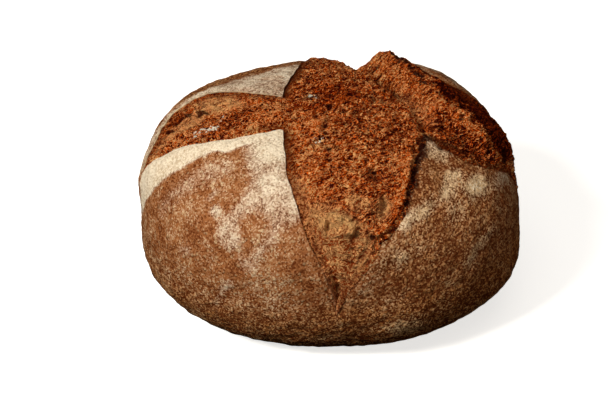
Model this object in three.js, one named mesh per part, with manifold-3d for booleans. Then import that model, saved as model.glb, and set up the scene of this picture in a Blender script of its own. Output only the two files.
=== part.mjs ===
// A round hearth loaf of whole wheat sourdough, scored with a cross that burst open in the oven.
// Millimetres, +Z up. The loaf stands on its flat base at z = 0, its middle is on the Z axis,
// and the longest arm of the cross runs down its front, which faces -Y.
import * as THREE from "three";
import { mergeVertices } from "three/addons/utils/BufferGeometryUtils.js";
import { ImprovedNoise } from "three/addons/math/ImprovedNoise.js";
import Module from "manifold-3d";

// The loaf's outer form, before it burst.
const LOAF_WIDTH = 230;
const LOAF_DEPTH = 223;
const CROWN_HEIGHT = 116;
const BELLY_HEIGHT = 41; // where the loaf is widest
const BASE_RADIUS = 70; // the flat that it stands on
const CROWN_FULLNESS = 2.9; // superellipse powers: 2 is an ellipse, more is squarer
const UNDERSIDE_FULLNESS = 2;
const PLAN_FULLNESS = 2.2;
const HEART_HEIGHT = 46; // the inner point that the relief is raised away from
const CRUST_LUMP = 1.2;
const CRUST_LUMP_LENGTH = 62;
const FULL_RELIEF_HEIGHT = 33; // below it the crust's relief fades away, so that the base is flat

// Where the crust is fuller or flatter than an even loaf: the middle of the place, its reach and its rise.
const CRUST_FORMS = [
  { name: "full low on the right", at: [158, -82], reach: 48, rise: 2 },
  { name: "full low at the front right", at: [72, -172], reach: 30, rise: 2 },
  { name: "flat low at the front", at: [8, -196], reach: 40, rise: -2 },
  { name: "flat under the right arm", at: [134, -28], reach: 26, rise: -2.4 },
  { name: "flat under the left arm", at: [-146, -30], reach: 30, rise: -1.6 },
  { name: "full on the rear left flap", at: [-104, 46], reach: 38, rise: 2.2 },
];

// The burst cross. Places on the crust are taken with a tape from the top: u to the right, v to the back.
const FRONT_TIP = [5, -159];
const LEFT_TIP = [-121, -19];
const REAR_TIP = [8, 142];
const RIGHT_TIP = [150, 0];
const FRONT_LEFT_CORNER = [-25.5, -33];
const REAR_LEFT_CORNER = [-27.5, 7];
const REAR_RIGHT_CORNER = [42, 60];
const FRONT_RIGHT_CORNER = [52, -38];

// The eight edges, anticlockwise from the front tip. Each has the lip's rise at both its ends, the crumb's
// depth beside the lip, and how far from the lip the crumb has come up again.
const BURST_EDGES = [
  {
    name: "front right flap, along the front arm",
    through: [FRONT_TIP, [21, -129], [38, -101], [45, -72], FRONT_RIGHT_CORNER],
    lip: [2, 4.5],
    crevice: 2.5,
    reach: 6,
  },
  {
    name: "front right flap, along the right arm",
    through: [FRONT_RIGHT_CORNER, [66, -44.5], [90, -45], RIGHT_TIP],
    lip: [4.5, 0],
    crevice: 4,
    reach: 8,
  },
  {
    name: "rear right flap, along the right arm",
    through: [RIGHT_TIP, [128, 34], [97, 48], [68, 47], REAR_RIGHT_CORNER],
    lip: [0, 8],
    crevice: -1,
    reach: 7,
  },
  {
    name: "rear right flap, along the rear arm",
    through: [REAR_RIGHT_CORNER, [36, 88], REAR_TIP],
    lip: [8, 1],
    crevice: 3,
    reach: 9,
  },
  {
    name: "rear left flap, along the rear arm",
    through: [REAR_TIP, [-14, 91], [-20, 52], REAR_LEFT_CORNER],
    lip: [1, 3],
    crevice: 3.5,
    reach: 7,
  },
  {
    name: "rear left flap, along the left arm",
    through: [REAR_LEFT_CORNER, [-46, 13.5], [-70, 21], [-92, 14], LEFT_TIP],
    lip: [2.5, 4.5],
    crevice: 3.5,
    reach: 10,
  },
  {
    name: "front left flap, along the left arm",
    through: [LEFT_TIP, [-104, -27], [-83, -32], [-52, -38], FRONT_LEFT_CORNER],
    lip: [3, 3],
    crevice: 3,
    reach: 8,
  },
  {
    name: "front left flap, along the front arm",
    through: [FRONT_LEFT_CORNER, [-24, -70], [-14.5, -109], [-3, -137], FRONT_TIP],
    lip: [3, 2],
    crevice: 4,
    reach: 6,
  },
];
const OUTLINE_STEPS = 26; // points along each edge
const TEAR = 1.1; // how far an edge strays from its smooth line
const TEAR_LENGTH = 9;
const TEAR_FADE = 1 / 6; // the share of an edge's length over which the straying fades at a corner
const LIP_REACH = 14;
const EDGE_FALLOFF = 4; // the power of distance with which one edge gives way to the next
const CUTTER_REACH = 2.6; // how far the burst is cut, in distances from the heart to the crust

// The torn crumb that rises between the lips.
const CRUMB_INSET = 11; // its depth under whole crust
const CRAG_HEIGHT = 2.4;
const CRAG_LENGTH = 13;
const SMALL_CRAG_SHARE = 0.6; // of the height
const SMALL_CRAG_LENGTH = 6;

// Swellings and dips of the crumb. Each follows a line over the crust, whose points are u, v and the rise
// there, and fades away over its reach to the left and to the right of that line.
const CRUMB_FORMS = [
  {
    name: "mound between the front flaps",
    line: [[12, 0, 3], [11, -40, 5], [9, -80, 5]],
    reach: [34, 34],
  },
  {
    name: "mound at the back",
    line: [[-6, 18, 3.5], [-6, 50, 2.5], [-4, 84, 0.5]],
    reach: [20, 16],
  },
  {
    name: "torn ridge of the lifted rear right flap",
    line: [
      [18, 72, 0], [25, 62, 12], [33, 51, 12], [42, 36, 10], [51, 19, 9],
      [59, 6, 9], [68, 0, 8], [76, -10, 7], [85, -18, 5], [95, -28, 0],
    ],
    reach: [34, 8.5],
  },
  {
    name: "valley under the ridge",
    line: [
      [15, 112, -7], [17, 60, -8], [22, 41, -8], [31, 25, -7],
      [40, 14, -7], [47, 4, -7], [51, -10, -6], [52, -26, -4],
    ],
    reach: [8, 8],
  },
  {
    name: "band in the left arm",
    line: [[-30, -16, 5], [-66, -19, 3], [-100, -17, 2]],
    reach: [11, 11],
  },
  {
    name: "hollow in the left arm",
    line: [[-58, 9, -1], [-84, 6, -5], [-106, -4, -5]],
    reach: [9, 9],
  },
  {
    name: "hollow of the front point",
    line: [[8, -112, -2], [5, -150, -4]],
    reach: [15, 15],
  },
  {
    name: "ledge on the right of the front",
    line: [[37, -78, 5], [24, -112, 4]],
    reach: [7, 7],
  },
  {
    name: "dip at the end of the right arm",
    line: [[108, -18, -3], [136, -6, -6]],
    reach: [14, 14],
  },
];

// Open gas holes: the middle, the radius and the depth.
const GAS_HOLES = [
  { at: [-80, 7], radius: 6.5, depth: 7 },
  { at: [-70, 1], radius: 5, depth: 6 },
  { at: [-95, -3], radius: 5, depth: 5 },
  { at: [0, -8], radius: 4.5, depth: 4 },
  { at: [9, -12], radius: 4, depth: 4 },
  { at: [104, -22], radius: 5, depth: 8 },
  { at: [32, -80], radius: 5, depth: 3 },
];
const HOLE_STEEPNESS = 1.3;

// Rows of triangles on each face of the icosahedron that a skin is wrapped from.
const CRUST_DETAIL = 16;
const CRUMB_DETAIL = 31;
const PROFILE_STEPS = 160; // for each of the profile's two curves
const SEAM_TOLERANCE = 1e-5; // on the unit icosahedron
const NOISE_LAYER_STEP = 17.3;

const CRUST_COLOUR = 0xa9713f;
const CRUST_ROUGHNESS = 0.85;

const noise = new ImprovedNoise();

// Smooth noise from -1 to 1 whose bumps are about one length apart. Each layer has a noise of its own.
function bumps({ x, y, z }, length, layer) {
  const shift = NOISE_LAYER_STEP * layer;
  return noise.noise(x / length + shift, y / length + shift / 2, z / length + shift / 3);
}

function smoothstep(t) {
  return THREE.MathUtils.smoothstep(t, 0, 1);
}

// The loaf's profile from the top of the crown, down the side and along the base to its middle.
// Each step holds the distance along the tape, the radius and the height.
function loafProfile() {
  const radius = LOAF_WIDTH / 2;
  const outline = [];
  for (let i = 0; i <= PROFILE_STEPS; i++) {
    const turn = (i / PROFILE_STEPS) * (Math.PI / 2);
    outline.push([
      radius * Math.sin(turn) ** (2 / CROWN_FULLNESS),
      BELLY_HEIGHT + (CROWN_HEIGHT - BELLY_HEIGHT) * Math.max(0, Math.cos(turn)) ** (2 / CROWN_FULLNESS),
    ]);
  }
  for (let i = 1; i <= PROFILE_STEPS; i++) {
    const turn = (i / PROFILE_STEPS) * (Math.PI / 2);
    outline.push([
      BASE_RADIUS + (radius - BASE_RADIUS) * Math.max(0, Math.cos(turn)) ** (2 / UNDERSIDE_FULLNESS),
      BELLY_HEIGHT - BELLY_HEIGHT * Math.sin(turn) ** (2 / UNDERSIDE_FULLNESS),
    ]);
  }
  outline.push([0, 0]);
  let tape = 0;
  return outline.map(([r, z], i) => {
    if (i > 0) tape += Math.hypot(r - outline[i - 1][0], z - outline[i - 1][1]);
    return { tape, r, z };
  });
}

const PROFILE = loafProfile();
const TAPE_TO_BASE_MIDDLE = PROFILE.at(-1).tape;
const HEART = new THREE.Vector3(0, 0, HEART_HEIGHT);

function profileAt(tape) {
  let low = 0;
  let high = PROFILE.length - 1;
  while (high - low > 1) {
    const middle = (low + high) >> 1;
    if (PROFILE[middle].tape <= tape) low = middle;
    else high = middle;
  }
  const above = PROFILE[low];
  const below = PROFILE[high];
  const share = THREE.MathUtils.clamp((tape - above.tape) / (below.tape - above.tape), 0, 1);
  return {
    r: THREE.MathUtils.lerp(above.r, below.r, share),
    z: THREE.MathUtils.lerp(above.z, below.z, share),
  };
}

// The place on the unburst crust at a tape measure (u, v) from the top, raised by lift away from the heart.
function crustPlace(u, v, lift) {
  const turn = Math.atan2(v, u);
  const { r, z } = profileAt(Math.hypot(u, v));
  const cosine = Math.cos(turn);
  const sine = Math.sin(turn);
  const across = Math.abs(cosine) ** PLAN_FULLNESS + Math.abs(sine) ** PLAN_FULLNESS;
  const reach = r * across ** (-1 / PLAN_FULLNESS);
  const place = new THREE.Vector3(reach * cosine, reach * sine * (LOAF_DEPTH / LOAF_WIDTH), z);
  const outward = place.clone().sub(HEART).normalize();
  return place.addScaledVector(outward, lift);
}

// One edge of the burst as points from its start up to its end, which belongs to the next edge.
// It follows a smooth curve and strays from it a little, as a tear does.
function edgePoints({ through }) {
  const curve = new THREE.SplineCurve(through.map(([u, v]) => new THREE.Vector2(u, v)));
  return curve
    .getPoints(OUTLINE_STEPS)
    .slice(0, -1)
    .map((point, i) => {
      const share = i / OUTLINE_STEPS;
      const tangent = curve.getTangent(share);
      const stray = TEAR * bumps(new THREE.Vector3(point.x, point.y, 0), TEAR_LENGTH, 1);
      const away = stray * Math.min(1, share / TEAR_FADE, (1 - share) / TEAR_FADE);
      return new THREE.Vector2(point.x - tangent.y * away, point.y + tangent.x * away);
    });
}

const EDGE_POINTS = BURST_EDGES.map(edgePoints);
const OUTLINE = EDGE_POINTS.flat();
const EDGE_LINES = EDGE_POINTS.map((points, i) => {
  const next = EDGE_POINTS[(i + 1) % EDGE_POINTS.length];
  return [...points, next[0]];
});
const FORM_LINES = CRUMB_FORMS.map(({ line }) => line.map(([u, v]) => new THREE.Vector2(u, v)));

// The nearest place on a line of points: its distance, how far along it is in points, and which side of the
// line (u, v) is on.
function nearestOnLine(u, v, line) {
  let best = { distance: Infinity, along: 0, onLeft: true };
  for (let i = 0; i + 1 < line.length; i++) {
    const du = line[i + 1].x - line[i].x;
    const dv = line[i + 1].y - line[i].y;
    const pu = u - line[i].x;
    const pv = v - line[i].y;
    const share = THREE.MathUtils.clamp((pu * du + pv * dv) / (du * du + dv * dv), 0, 1);
    const distance = Math.hypot(pu - share * du, pv - share * dv);
    if (distance < best.distance) best = { distance, along: i + share, onLeft: du * pv - dv * pu > 0 };
  }
  return best;
}

function isInBurst(u, v) {
  let inside = false;
  OUTLINE.forEach((a, i) => {
    const b = OUTLINE[(i + 1) % OUTLINE.length];
    if (a.y > v !== b.y > v && u < a.x + ((v - a.y) / (b.y - a.y)) * (b.x - a.x)) inside = !inside;
  });
  return inside;
}

// What the burst's edges give at (u, v): the depth inside the burst, below zero outside it, and the edges'
// own values, each edge counting more the nearer it is.
function burstAt(u, v) {
  const found = { depth: Infinity, lip: 0, crevice: 0, reach: 0 };
  let total = 0;
  BURST_EDGES.forEach((edge, i) => {
    const { distance, along } = nearestOnLine(u, v, EDGE_LINES[i]);
    const weight = (distance + 1) ** -EDGE_FALLOFF;
    found.depth = Math.min(found.depth, distance);
    found.lip += weight * THREE.MathUtils.lerp(edge.lip[0], edge.lip[1], along / OUTLINE_STEPS);
    found.crevice += weight * edge.crevice;
    found.reach += weight * edge.reach;
    total += weight;
  });
  for (const value of ["lip", "crevice", "reach"]) found[value] /= total;
  if (!isInBurst(u, v)) found.depth *= -1;
  return found;
}

// The crust's rise above the smooth loaf: slow lumps, and a lip along the burst.
function crustLift(u, v) {
  const place = crustPlace(u, v, 0);
  const aboveBase = smoothstep(place.z / FULL_RELIEF_HEIGHT);
  const lump = CRUST_LUMP * bumps(place, CRUST_LUMP_LENGTH, 2);
  const { depth, lip } = burstAt(u, v);
  let rise = lump + lip * Math.exp(-((depth / LIP_REACH) ** 2));
  for (const { at, reach, rise: height } of CRUST_FORMS) {
    rise += height * Math.exp(-((Math.hypot(u - at[0], v - at[1]) / reach) ** 2));
  }
  return aboveBase * rise;
}

// The crumb's swellings, dips and gas holes at (u, v).
function crumbForms(u, v) {
  let rise = 0;
  CRUMB_FORMS.forEach(({ line, reach }, i) => {
    const { distance, along, onLeft } = nearestOnLine(u, v, FORM_LINES[i]);
    const start = Math.min(Math.floor(along), line.length - 2);
    const height = THREE.MathUtils.lerp(line[start][2], line[start + 1][2], along - start);
    rise += height * Math.exp(-((distance / reach[onLeft ? 0 : 1]) ** 2));
  });
  for (const { at, radius, depth } of GAS_HOLES) {
    const distance = Math.hypot(u - at[0], v - at[1]);
    rise -= depth * smoothstep(HOLE_STEEPNESS * (1 - distance / radius));
  }
  return rise;
}

// The crumb's rise above the smooth loaf: sunk under whole crust, with a crevice by the lips and craggy
// between them.
function crumbLift(u, v) {
  const { depth, crevice, reach } = burstAt(u, v);
  if (depth < 0) return -THREE.MathUtils.lerp(crevice, CRUMB_INSET, smoothstep(-depth / LIP_REACH));
  const place = crustPlace(u, v, 0);
  const smallCrag = SMALL_CRAG_SHARE * bumps(place, SMALL_CRAG_LENGTH, 4);
  const crag = CRAG_HEIGHT * (bumps(place, CRAG_LENGTH, 3) + smallCrag);
  const open = smoothstep(depth / reach);
  return -crevice * (1 - open) + open * (crumbForms(u, v) + crag);
}

// A closed skin wrapped round the loaf at the given lift.
function wrappedSkin(detail, liftAt) {
  const ball = new THREE.IcosahedronGeometry(1, detail);
  ball.deleteAttribute("normal");
  ball.deleteAttribute("uv");
  const skin = mergeVertices(ball, SEAM_TOLERANCE);
  const position = skin.getAttribute("position");
  for (let i = 0; i < position.count; i++) {
    const direction = new THREE.Vector3().fromBufferAttribute(position, i).normalize();
    const tape = (Math.acos(THREE.MathUtils.clamp(direction.z, -1, 1)) / Math.PI) * TAPE_TO_BASE_MIDDLE;
    const turn = Math.atan2(direction.y, direction.x);
    const u = tape * Math.cos(turn);
    const v = tape * Math.sin(turn);
    const place = crustPlace(u, v, liftAt(u, v));
    position.setXYZ(i, place.x, place.y, place.z);
  }
  return skin;
}

// A cone from the loaf's heart out through the burst's outline, well past the crust.
function burstCutter() {
  const rim = OUTLINE.map(({ x, y }) => {
    const place = crustPlace(x, y, 0);
    return place.sub(HEART).multiplyScalar(CUTTER_REACH).add(HEART);
  });
  const cap = THREE.ShapeUtils.triangulateShape(OUTLINE, []);
  const heart = rim.length;
  const walls = rim.map((_, i) => [heart, (i + 1) % rim.length, i]);
  const geometry = new THREE.BufferGeometry().setFromPoints([...rim, HEART]);
  geometry.setIndex([...cap, ...walls].flat());
  return geometry;
}

const wasm = await Module();
wasm.setup();

function solidOf(geometry) {
  return new wasm.Manifold(
    new wasm.Mesh({
      numProp: 3,
      vertProperties: new Float32Array(geometry.getAttribute("position").array),
      triVerts: new Uint32Array(geometry.index.array),
    }),
  );
}

function geometryOf(solid) {
  const mesh = solid.getMesh();
  const geometry = new THREE.BufferGeometry();
  geometry.setAttribute("position", new THREE.BufferAttribute(mesh.vertProperties, mesh.numProp));
  geometry.setIndex(new THREE.BufferAttribute(mesh.triVerts, 1));
  geometry.computeVertexNormals();
  return geometry;
}

// The loaf is one piece of bread: crust parted along the burst, with the crumb risen between the flaps.
function buildLoaf() {
  const crust = solidOf(wrappedSkin(CRUST_DETAIL, crustLift)).subtract(solidOf(burstCutter()));
  const crumb = solidOf(wrappedSkin(CRUMB_DETAIL, crumbLift));
  const finish = { color: CRUST_COLOUR, roughness: CRUST_ROUGHNESS, metalness: 0 };
  const material = new THREE.MeshStandardMaterial(finish);
  const loaf = new THREE.Mesh(geometryOf(crust.add(crumb)), material);
  loaf.name = "loaf";
  return loaf;
}

const part = new THREE.Group();
part.name = "whole_wheat_sourdough_loaf";
part.add(buildLoaf());

export default part;
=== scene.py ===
"""The looks of a whole wheat sourdough loaf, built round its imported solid.

The loaf is one piece: a crust that a burst cross has parted into four flaps, with torn crumb risen between
them. Sizes are in millimetres until a mesh is written. +Z is up and the front faces -Y. Places on the loaf
are taken with a tape from the top of the crown: u to the right and v to the back.
"""

import logging
import math
from dataclasses import dataclass
from enum import Enum, IntEnum
from functools import cached_property
from typing import Any, Callable, Sequence

import bpy
import numpy as np
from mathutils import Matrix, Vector, noise


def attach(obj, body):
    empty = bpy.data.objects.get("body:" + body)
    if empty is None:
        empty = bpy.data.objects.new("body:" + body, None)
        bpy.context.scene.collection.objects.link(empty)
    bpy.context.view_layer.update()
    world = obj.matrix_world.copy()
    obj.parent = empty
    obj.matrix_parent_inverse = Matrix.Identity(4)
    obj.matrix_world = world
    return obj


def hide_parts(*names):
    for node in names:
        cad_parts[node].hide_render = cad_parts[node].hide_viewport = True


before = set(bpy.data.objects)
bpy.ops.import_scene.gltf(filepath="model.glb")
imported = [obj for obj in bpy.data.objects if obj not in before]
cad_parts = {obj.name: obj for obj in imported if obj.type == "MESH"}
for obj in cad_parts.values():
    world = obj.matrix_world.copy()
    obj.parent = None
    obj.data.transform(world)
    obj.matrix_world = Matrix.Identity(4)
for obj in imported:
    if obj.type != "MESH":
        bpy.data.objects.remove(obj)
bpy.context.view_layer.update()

LOG = logging.getLogger("loaf")
MILLIMETRE = 0.001
NOISE_LAYER_STEP = 17.3
TEAR_TURN = math.radians(40.0)
TEAR_STRETCH = 1.8
FULL_CHANNEL = 255
SRGB_TOE = 0.04045
SRGB_TOE_SLOPE = 12.92
SRGB_LIFT = 0.055
SRGB_POWER = 2.4

Array = np.ndarray
Spot = tuple[float, float]
Span = tuple[float, float]
Rise = tuple[float, float, float]
ReadAt = Callable[[Array, Array], Array]


class Layer(IntEnum):
    """The noises of the loaf's relief, each apart from the others."""

    TEAR = 1
    LUMP = 2
    CRAG = 3
    SMALL_CRAG = 4
    DIMPLE = 5
    STRAND = 6
    GRAIN = 7
    PIT = 8
    WARP_X = 9
    WARP_Y = 10
    WARP_Z = 11
    SHRED = 12
    BLISTER = 13
    FOLD = 14
    CHAR = 15


class Join(Enum):
    """How one solid is joined to another."""

    CUT = "DIFFERENCE"
    ADD = "UNION"


def to_light(share: float) -> float:
    """The light of a channel that the eye reads as a share of full, by the sRGB curve."""
    if share <= SRGB_TOE:
        return share / SRGB_TOE_SLOPE
    return ((share + SRGB_LIFT) / (1 + SRGB_LIFT)) ** SRGB_POWER


@dataclass(frozen=True)
class Tone:
    """A colour as the eye reads it, from 0 to 255 a channel."""

    red: float
    green: float
    blue: float

    @property
    def linear(self) -> tuple[float, float, float, float]:
        """The colour as light, with full alpha."""
        red, green, blue = (to_light(channel / FULL_CHANNEL) for channel in (self.red, self.green, self.blue))
        return (red, green, blue, 1.0)



def smoothstep(share: Array) -> Array:
    """A smooth rise from 0 to 1 as the share goes from 0 to 1."""
    held = np.clip(share, 0.0, 1.0)
    return held * held * (3.0 - 2.0 * held)


def fade(away: Array, reach: Array | float) -> Array:
    """A soft fall from 1 at no distance to nearly nothing at twice the reach."""
    return np.exp(-((away / reach) ** 2))


def bumps(spots: Array, length: float, layer: Layer) -> Array:
    """Smooth noise whose bumps are about one length apart.

    Args:
        spots: Points, one a row.
        length: The distance between bumps.
        layer: Which noise it is; each layer has one of its own.

    Returns:
        A value from -1 to 1 for each spot.
    """
    shift = NOISE_LAYER_STEP * layer
    moved = spots / length + np.array([shift, shift / 2, shift / 3])
    return np.array([noise.noise(Vector(spot), noise_basis="PERLIN_NEW") for spot in moved])


def ridges(spots: Array, length: float, layer: Layer) -> Array:
    """Noise with sharp crests about one length apart.

    Args:
        spots: Points, one a row.
        length: The distance between crests.
        layer: Which noise it is.

    Returns:
        A value from 0 to 1 for each spot, 1 on a crest.
    """
    return 1.0 - 2.0 * np.abs(bumps(spots, length, layer)).clip(0.0, 0.5)


def gaps(spots: Array, length: float) -> Array:
    """How far each spot is from the walls between cells about one length wide."""
    nearest = [noise.voronoi(Vector(spot))[0] for spot in spots / length]
    return np.array([distances[1] - distances[0] for distances in nearest])


def nearest_on_line(u: Array, v: Array, line: Array) -> tuple[Array, Array, Array]:
    """The nearest place on a line of points.

    Args:
        u: Places to the right.
        v: Places to the back.
        line: The line's points, one a row.

    Returns:
        The distance, how far along the line the place is in points, and whether (u, v) is on its left.
    """
    distance = np.full(u.shape, np.inf)
    along = np.zeros(u.shape)
    on_left = np.ones(u.shape, bool)
    for i, (start, end) in enumerate(zip(line[:-1], line[1:])):
        du, dv = end - start
        pu, pv = u - start[0], v - start[1]
        share = np.clip((pu * du + pv * dv) / (du * du + dv * dv), 0.0, 1.0)
        away = np.hypot(pu - share * du, pv - share * dv)
        nearer = away < distance
        distance[nearer] = away[nearer]
        along[nearer] = i + share[nearer]
        on_left[nearer] = (du * pv - dv * pu)[nearer] > 0
    return distance, along, on_left


def is_inside(u: Array, v: Array, outline: Array) -> Array:
    """Whether each place is inside a closed outline.

    Args:
        u: Places to the right.
        v: Places to the back.
        outline: The outline's points, one a row.

    Returns:
        True or False for each place.
    """
    inside = np.zeros(u.shape, bool)
    for a, b in zip(outline, np.roll(outline, -1, axis=0)):
        if a[1] == b[1]:
            continue
        crosses = (a[1] > v) != (b[1] > v)
        inside ^= crosses & (u < a[0] + (v - a[1]) / (b[1] - a[1]) * (b[0] - a[0]))
    return inside


def spline(through: Sequence[Spot], steps: int) -> Array:
    """A smooth curve through points.

    Args:
        through: The points that the curve passes.
        steps: How many steps it is cut into.

    Returns:
        The curve's points, one a row, from its start to its end.
    """
    points = np.array(through, float)
    last = len(points) - 1
    reach = np.linspace(0.0, last, steps + 1)
    i = np.minimum(reach.astype(int), last - 1)
    t = (reach - i)[:, None]
    before, start = points[np.maximum(i - 1, 0)], points[i]
    end, after = points[i + 1], points[np.minimum(i + 2, last)]
    leave, arrive = (end - before) / 2, (after - start) / 2
    cubic = 2 * start - 2 * end + leave + arrive
    square = 3 * end - 3 * start - 2 * leave - arrive
    return ((cubic * t + square) * t + leave) * t + start


@dataclass(frozen=True)
class Patch:
    """An area of the loaf that wears a finish, with a soft rim."""

    name: str
    outline: tuple[Spot, ...]
    feather: float
    amount: float

    def cover(self, u: Array, v: Array) -> Array:
        """How much of the finish each place has.

        Args:
            u: Tape to the right.
            v: Tape to the back.

        Returns:
            A share from 0 to the patch's amount.
        """
        line = np.array(self.outline + self.outline[:1], float)
        away, _, _ = nearest_on_line(u, v, line)
        depth = np.where(is_inside(u, v, line[:-1]), away, -away)
        return self.amount * smoothstep(0.5 + depth / (2 * self.feather))


def cover_of(patches: Sequence[Patch], u: Array, v: Array) -> Array:
    """The greatest cover that any of the patches gives each place."""
    return np.max([patch.cover(u, v) for patch in patches], axis=0)


@dataclass(frozen=True)
class LoafForm:
    """The loaf's outer form before it burst, and the tape measure over it."""

    width: float = 230.0
    depth: float = 223.0
    crown_height: float = 116.0
    belly_height: float = 41.0
    base_radius: float = 70.0
    crown_fullness: float = 2.9
    underside_fullness: float = 2.0
    plan_fullness: float = 2.2
    heart_height: float = 46.0
    profile_steps: int = 160

    @cached_property
    def profile(self) -> tuple[Array, Array, Array]:
        """The profile from the crown's top to the middle of the base.

        Returns:
            The tape, radius and height of its points.
        """
        turn = np.linspace(0.0, math.pi / 2, self.profile_steps + 1)
        sine, cosine = np.sin(turn), np.cos(turn).clip(0.0)
        half = self.width / 2
        crown, under = 2 / self.crown_fullness, 2 / self.underside_fullness
        rise = self.crown_height - self.belly_height
        upper = np.stack([half * sine**crown, self.belly_height + rise * cosine**crown], axis=1)
        flare = half - self.base_radius
        low_radius = self.base_radius + flare * cosine**under
        lower = np.stack([low_radius, self.belly_height * (1 - sine**under)], axis=1)
        outline = np.concatenate([upper, lower[1:], [[0.0, 0.0]]])
        steps = np.hypot(*np.diff(outline, axis=0).T)
        tape = np.concatenate([[0.0], np.cumsum(steps)])
        return tape, outline[:, 0], outline[:, 1]

    @property
    def tape_length(self) -> float:
        """The tape from the crown's top to the middle of the base."""
        return float(self.profile[0][-1])

    @property
    def heart(self) -> Array:
        """The inner point that relief is raised away from."""
        return np.array([0.0, 0.0, self.heart_height])

    def plan_reach(self, turn: Array) -> Array:
        """How much further than a circle the plan reaches at a turn round the loaf."""
        power = self.plan_fullness
        return (np.abs(np.cos(turn)) ** power + np.abs(np.sin(turn)) ** power) ** (-1 / power)

    def place(self, u: Array, v: Array, lift: Array | float = 0.0) -> Array:
        """Where a tape measure ends on the unburst crust.

        Args:
            u: Tape to the right.
            v: Tape to the back.
            lift: How far the place is raised away from the heart.

        Returns:
            Points, one a row.
        """
        tape, radius, height = self.profile
        turn, run = np.arctan2(v, u), np.hypot(u, v)
        reach = np.interp(run, tape, radius) * self.plan_reach(turn)
        across = reach * np.sin(turn) * self.depth / self.width
        spots = np.stack([reach * np.cos(turn), across, np.interp(run, tape, height)], axis=-1)
        outward = spots - self.heart
        outward /= np.linalg.norm(outward, axis=-1, keepdims=True)
        return spots + np.asarray(lift)[..., None] * outward

    def measure(self, spots: Array) -> tuple[Array, Array]:
        """The tape measure of points at any lift.

        Args:
            spots: Points, one a row.

        Returns:
            The tape to the right and to the back.
        """
        tape, radius, height = self.profile
        x, y = spots[:, 0], spots[:, 1] * self.width / self.depth
        turn = np.arctan2(y, x)
        slope = np.arctan2(np.hypot(x, y) / self.plan_reach(turn), spots[:, 2] - self.heart_height)
        run = np.interp(slope, np.arctan2(radius, height - self.heart_height), tape)
        return run * np.cos(turn), run * np.sin(turn)


@dataclass(frozen=True)
class BurstEdge:
    """One edge of a flap and the crumb beside it; pairs run from the edge's start to its end."""

    name: str
    through: tuple[Spot, ...]
    lip: Spot
    crevice: Spot
    reach: float
    char: Spot = (0.0, 0.0)
    rim: Spot = (0.0, 0.0)
    shade: Spot = (0.0, 0.0)
    roll: Spot = (0.8, 0.8)
    bevel: Spot = (0.0, 0.0)
    tear: float = 1.1

    @property
    def pairs(self) -> tuple[Spot, ...]:
        """The edge's values in the order of a reading."""
        reach = (self.reach, self.reach)
        return (self.lip, self.crevice, reach, self.char, self.rim, self.shade, self.roll, self.bevel)


FRONT_TIP = (5.0, -159.0)
LEFT_TIP = (-121.0, -19.0)
REAR_TIP = (8.0, 142.0)
RIGHT_TIP = (150.0, 0.0)
FRONT_LEFT_CORNER = (-25.5, -33.0)
REAR_LEFT_CORNER = (-27.5, 7.0)
REAR_RIGHT_CORNER = (42.0, 60.0)
FRONT_RIGHT_CORNER = (51.5, -34.0)

BURST_EDGES = (
    BurstEdge(
        "front right flap, along the front arm",
        (FRONT_TIP, (12.5, -144), (20.5, -132), (26, -122), (29, -113), (37, -103), (41, -90), (43, -76),
         (47, -54), FRONT_RIGHT_CORNER),
        lip=(1.5, 2.8), crevice=(-0.5, -3.2), reach=4, char=(-0.35, 0.9), shade=(0.7, -0.9), tear=1.6,
    ),
    BurstEdge(
        "front right flap, along the right arm",
        (FRONT_RIGHT_CORNER, (66, -44.5), (90, -45), RIGHT_TIP),
        lip=(2.2, 0), crevice=(0.5, 3), reach=6, char=(0.6, -0.3), shade=(0.8, 0.8),
    ),
    BurstEdge(
        "rear right flap, along the right arm",
        (RIGHT_TIP, (128, 34), (97, 46), (68, 43), REAR_RIGHT_CORNER),
        lip=(0, 1.5), crevice=(1.5, 1.5), reach=6, char=(0.0, 0.2), shade=(0.2, 0.8),
    ),
    BurstEdge(
        "rear right flap, along the rear arm",
        (REAR_RIGHT_CORNER, (36, 88), REAR_TIP),
        lip=(1.5, 1), crevice=(3, 3), reach=9, char=(0.2, 0.0), shade=(0.6, 0.6),
    ),
    BurstEdge(
        "rear left flap, along the rear arm",
        (REAR_TIP, (-14, 91), (-20, 52), REAR_LEFT_CORNER),
        lip=(1, 1.5), crevice=(0.3, 0.3), reach=4, shade=(1.0, 1.0),
    ),
    BurstEdge(
        "rear left flap, along the left arm",
        (REAR_LEFT_CORNER, (-45, 15), (-60, 21.5), (-73, 26), (-85, 23.5), (-92, 20.5), (-97.5, 16.5),
         (-101.5, 9.5), (-105.5, 1.5), (-111, -6), LEFT_TIP),
        lip=(1.5, 3.5), crevice=(0.2, -1.8), reach=7, rim=(1.0, 1.0), shade=(0.4, 0.5), tear=0.6,
    ),
    BurstEdge(
        "front left flap, along the left arm",
        (LEFT_TIP, (-104, -27), (-83, -32), (-52, -38), FRONT_LEFT_CORNER),
        lip=(3, 3), crevice=(2, 2), reach=8, rim=(0.5, 0.5), shade=(0.3, 0.3),
    ),
    BurstEdge(
        "front left flap, along the front arm",
        (FRONT_LEFT_CORNER, (-24, -70), (-14.5, -109), (-3, -137), FRONT_TIP),
        lip=(1.6, 1.2), crevice=(0.5, 0.4), reach=5.0, rim=(0.1, 0.1), shade=(1.0, -0.6), roll=(0.6, 0.8),
        bevel=(-0.5, 0.9),
    ),
)


@dataclass(frozen=True)
class BurstReading:
    """What the burst gives at places on the loaf."""

    depth: Array
    lip: Array
    crevice: Array
    reach: Array
    char: Array
    rim: Array
    shade: Array
    roll: Array
    bevel: Array


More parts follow.
